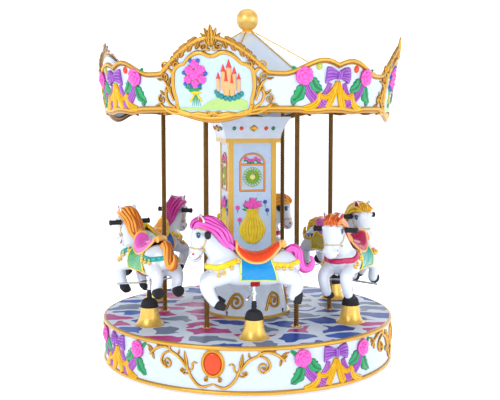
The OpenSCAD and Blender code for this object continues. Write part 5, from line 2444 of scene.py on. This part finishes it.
    def to_seat(self, seat: int) -> Mapping:
        """Moves the horse's own frame to a seat, counted from 1."""
        turn = Matrix.Rotation(math.radians(60 * (seat - 1)), 3, "Z")
        return lambda p: turn @ Vector((-p.x, -self.lay.seat_r - p.y, self.lay.deck_z + p.z))

    def dress(self) -> None:
        """Builds one horse and puts it on all six seats in its own colours."""
        body = self.body()
        skin = self.skin(body)
        seat, trim = self.saddle()
        flaps, borders = self.cloth(skin)
        ears, ear_red = self.ears()
        bar, rubber = self.grips()
        strap, bells = self.straps(skin), self.bells(skin)
        bridle, hooves, plate = self.bridle(skin), self.hooves(), self.belly_plate(skin)
        face = self.eyes(skin)
        mane, tail = self.mane(), self.tail()
        coat = Mould()
        coat.points = [v.co.copy() for v in body.vertices]
        coat.hollow = [0.0] * len(coat.points)
        coat.faces = [tuple(p.vertices) for p in body.polygons]
        coat.add(ears)
        for number, livery in enumerate(LIVERIES, 1):
            place, mount = self.to_seat(number), f"mount_{number}"
            parts: list[tuple[str, Mould, Finish | Paint]] = [
                ("mane", Mould().add(mane, tail), livery.mane),
                ("saddle", seat, livery.saddle),
                ("saddle_trim", trim, livery.trim),
                ("cloth", flaps, livery.blanket),
                ("cloth_border", borders, livery.border),
                ("straps", strap, livery.strap),
                ("bells", bells, Paint.BRIGHT_GOLD),
                ("bridle", bridle, Paint.BRIDLE),
                ("ear_insides", ear_red, Paint.EAR_RED),
                ("hooves", hooves, Paint.RUBBER),
                ("grip_bar", bar, Paint.STEEL),
                ("grip_rubbers", rubber, Paint.RUBBER),
                ("belly_plate", plate, Paint.RED),
                *((f"face_{paint.value.name}", mould, paint) for paint, mould in face.items()),
            ]
            settle(f"horse_{number}_body", coat.mapped(place), Paint.COAT, [f"horse_{number}"], mount, 60.0)
            for name, mould, finish in parts:
                settle(f"horse_{number}_{name}", mould.mapped(place), finish, body=mount)


# --------------------------------------------------------------------------- the studio


NODE_PAINTS = {
    "column_base": Paint.WHITE,
    "column_shell": Paint.PALE_BLUE,
    "column_strips": Paint.STRIP,
    "column_mouldings": Paint.STRIP,
    "cornice": Paint.WHITE,
    "deck": Paint.DECK,
    "pole_flanges": Paint.STRIP,
    "roof_cone": Paint.WHITE,
    "roof_ribs": Paint.STRIP,
    "rod_bushes": Paint.BRONZE,
    "control_box": Paint.BOX,
    "gearmotor": Paint.MOTOR,
    "levelling_feet": Paint.ZINC,
    "chassis_frame": Paint.ZINC,
    "lift_cylinders": Paint.ZINC,
    "canopy_hub": Paint.FRAME,
    "canopy_mid_ring": Paint.FRAME,
    "canopy_eave_ring": Paint.FRAME,
    "canopy_spokes": Paint.FRAME,
    "mast": Paint.FRAME,
}
"""The finishes of the frame's own parts; the rest follow their slots."""

SLOT_PAINTS = {
    "painted_steel": Paint.FRAME,
    "galvanised_steel": Paint.ZINC,
    "polished_steel": Paint.STEEL,
    "black_rubber": Paint.RUBBER,
    "bronze": Paint.BRONZE,
    "white_fibreglass": Paint.WHITE,
    "gold_paint": Paint.STRIP,
    "gold_fibreglass": Paint.GOLD,
}


@dataclass
class Studio:
    """The camera, the pale floor and soft lights."""

    distance: float = 6.58
    eye_z: float = 1.813
    pitch: float = 5.33
    azimuth: float = -3.0
    lens: float = 62.35
    shift: float = 0.005
    flat_r: float = 17.0

    def floor(self) -> None:
        """A wide pale floor that curves up all round, far away."""
        reach = [0.5, 4.0, 8.0, 12.0, *(self.flat_r + 0.6 * i for i in range(16))]
        outline = [(r, 0.14 * max(r - self.flat_r, 0.0) ** 2) for r in reach]
        outline = [(0.001, 0.0), *outline, *((r, z - 0.05) for r, z in reversed(outline)), (0.001, -0.05)]
        graph = Graph("floor_paint")
        cloud = graph.mottle(0.6)
        colour = graph.blend(cloud, (0.90, 0.90, 0.91), (0.94, 0.94, 0.94))
        mesh = lathe(outline, 96).mesh("floor")
        mesh.materials.append(
            graph.close(
                {
                    "Base Color": colour, "Roughness": cloud * 0.1 + 0.7,
                    "Emission Color": (0.97, 0.98, 1.0, 1.0), "Emission Strength": 0.55
                }
            )
        )
        stand("floor", mesh)

    def light(self, name: str, place: Vector, size: float, power: float, aim: Vector) -> None:
        """Adds one large soft light.

        Args:
            name: Its name.
            place: Where it stands.
            size: Its side in metres.
            power: Its power in watts.
            aim: Where it points.
        """
        lamp = bpy.data.lights.new(name, "AREA")
        lamp.shape = "SQUARE"
        lamp.size = size
        lamp.energy = power
        holder = stand(name, lamp)
        holder.location = place
        holder.rotation_euler = (aim - place).to_track_quat("-Z", "Y").to_euler()

    def set_up(self) -> None:
        """Builds the whole studio."""
        self.floor()
        middle = Vector((0, 0, 1.2))
        view = bpy.context.scene.view_settings
        view.view_transform = "Standard"
        view.look = "Medium High Contrast"
        self.light("key", Vector((-4.6, -6.4, 5.6)), 4.5, 200, middle)
        self.light("fill", Vector((5.8, -5.0, 3.0)), 5.0, 95, middle)
        self.light("back", Vector((1.5, 6.5, 5.0)), 5.0, 130, middle)
        self.light("top", Vector((0, 0, 7.5)), 6.0, 60, middle)
        world = bpy.data.worlds.new("soft_sky")
        bpy.context.scene.world = world
        world.use_nodes = True
        world.node_tree.nodes["Background"].inputs[0].default_value = (0.90, 0.94, 1.0, 1.0)
        world.node_tree.nodes["Background"].inputs[1].default_value = 0.42
        camera = bpy.data.cameras.new("camera")
        camera.lens = self.lens
        camera.sensor_width = 36.0
        camera.shift_x = self.shift
        camera.clip_end = 90.0
        holder = stand("camera", camera)
        turn = math.radians(self.azimuth)
        holder.location = (self.distance * math.sin(turn), -self.distance * math.cos(turn), self.eye_z)
        holder.rotation_euler = (math.radians(90 - self.pitch), 0, turn)
        bpy.context.scene.camera = holder


def paint_frame(frame: dict) -> None:
    """Gives every part of the frame its finish.

    Args:
        frame: The loaded frame.
    """
    for name, node in frame["nodes"].items():
        paint = NODE_PAINTS.get(name)
        if paint is None:
            given = node.material_slots[0].material if node.material_slots else None
            slot = given.name if given else ""
            paint = next((p for key, p in SLOT_PAINTS.items() if key in slot), Paint.FRAME)
            LOG.info("%s has slot material %s", name, slot)
        if not node.material_slots:
            node.data.materials.append(paint.material)
        for slot in node.material_slots:
            slot.material = paint.material


def main() -> None:
    """Dresses the frame, part by part."""
    logging.basicConfig(level=logging.INFO, format="%(message)s")
    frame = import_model()
    lay = Layout()
    paint_frame(frame)
    for part in (Deck(lay), SkirtRelief(lay), Column(lay), Fascia(lay), Roof(lay), Horse(lay)):
        part.dress()
        LOG.info("%s done", type(part).__name__)
    Studio().set_up()


if __name__ == "__main__":
    main()
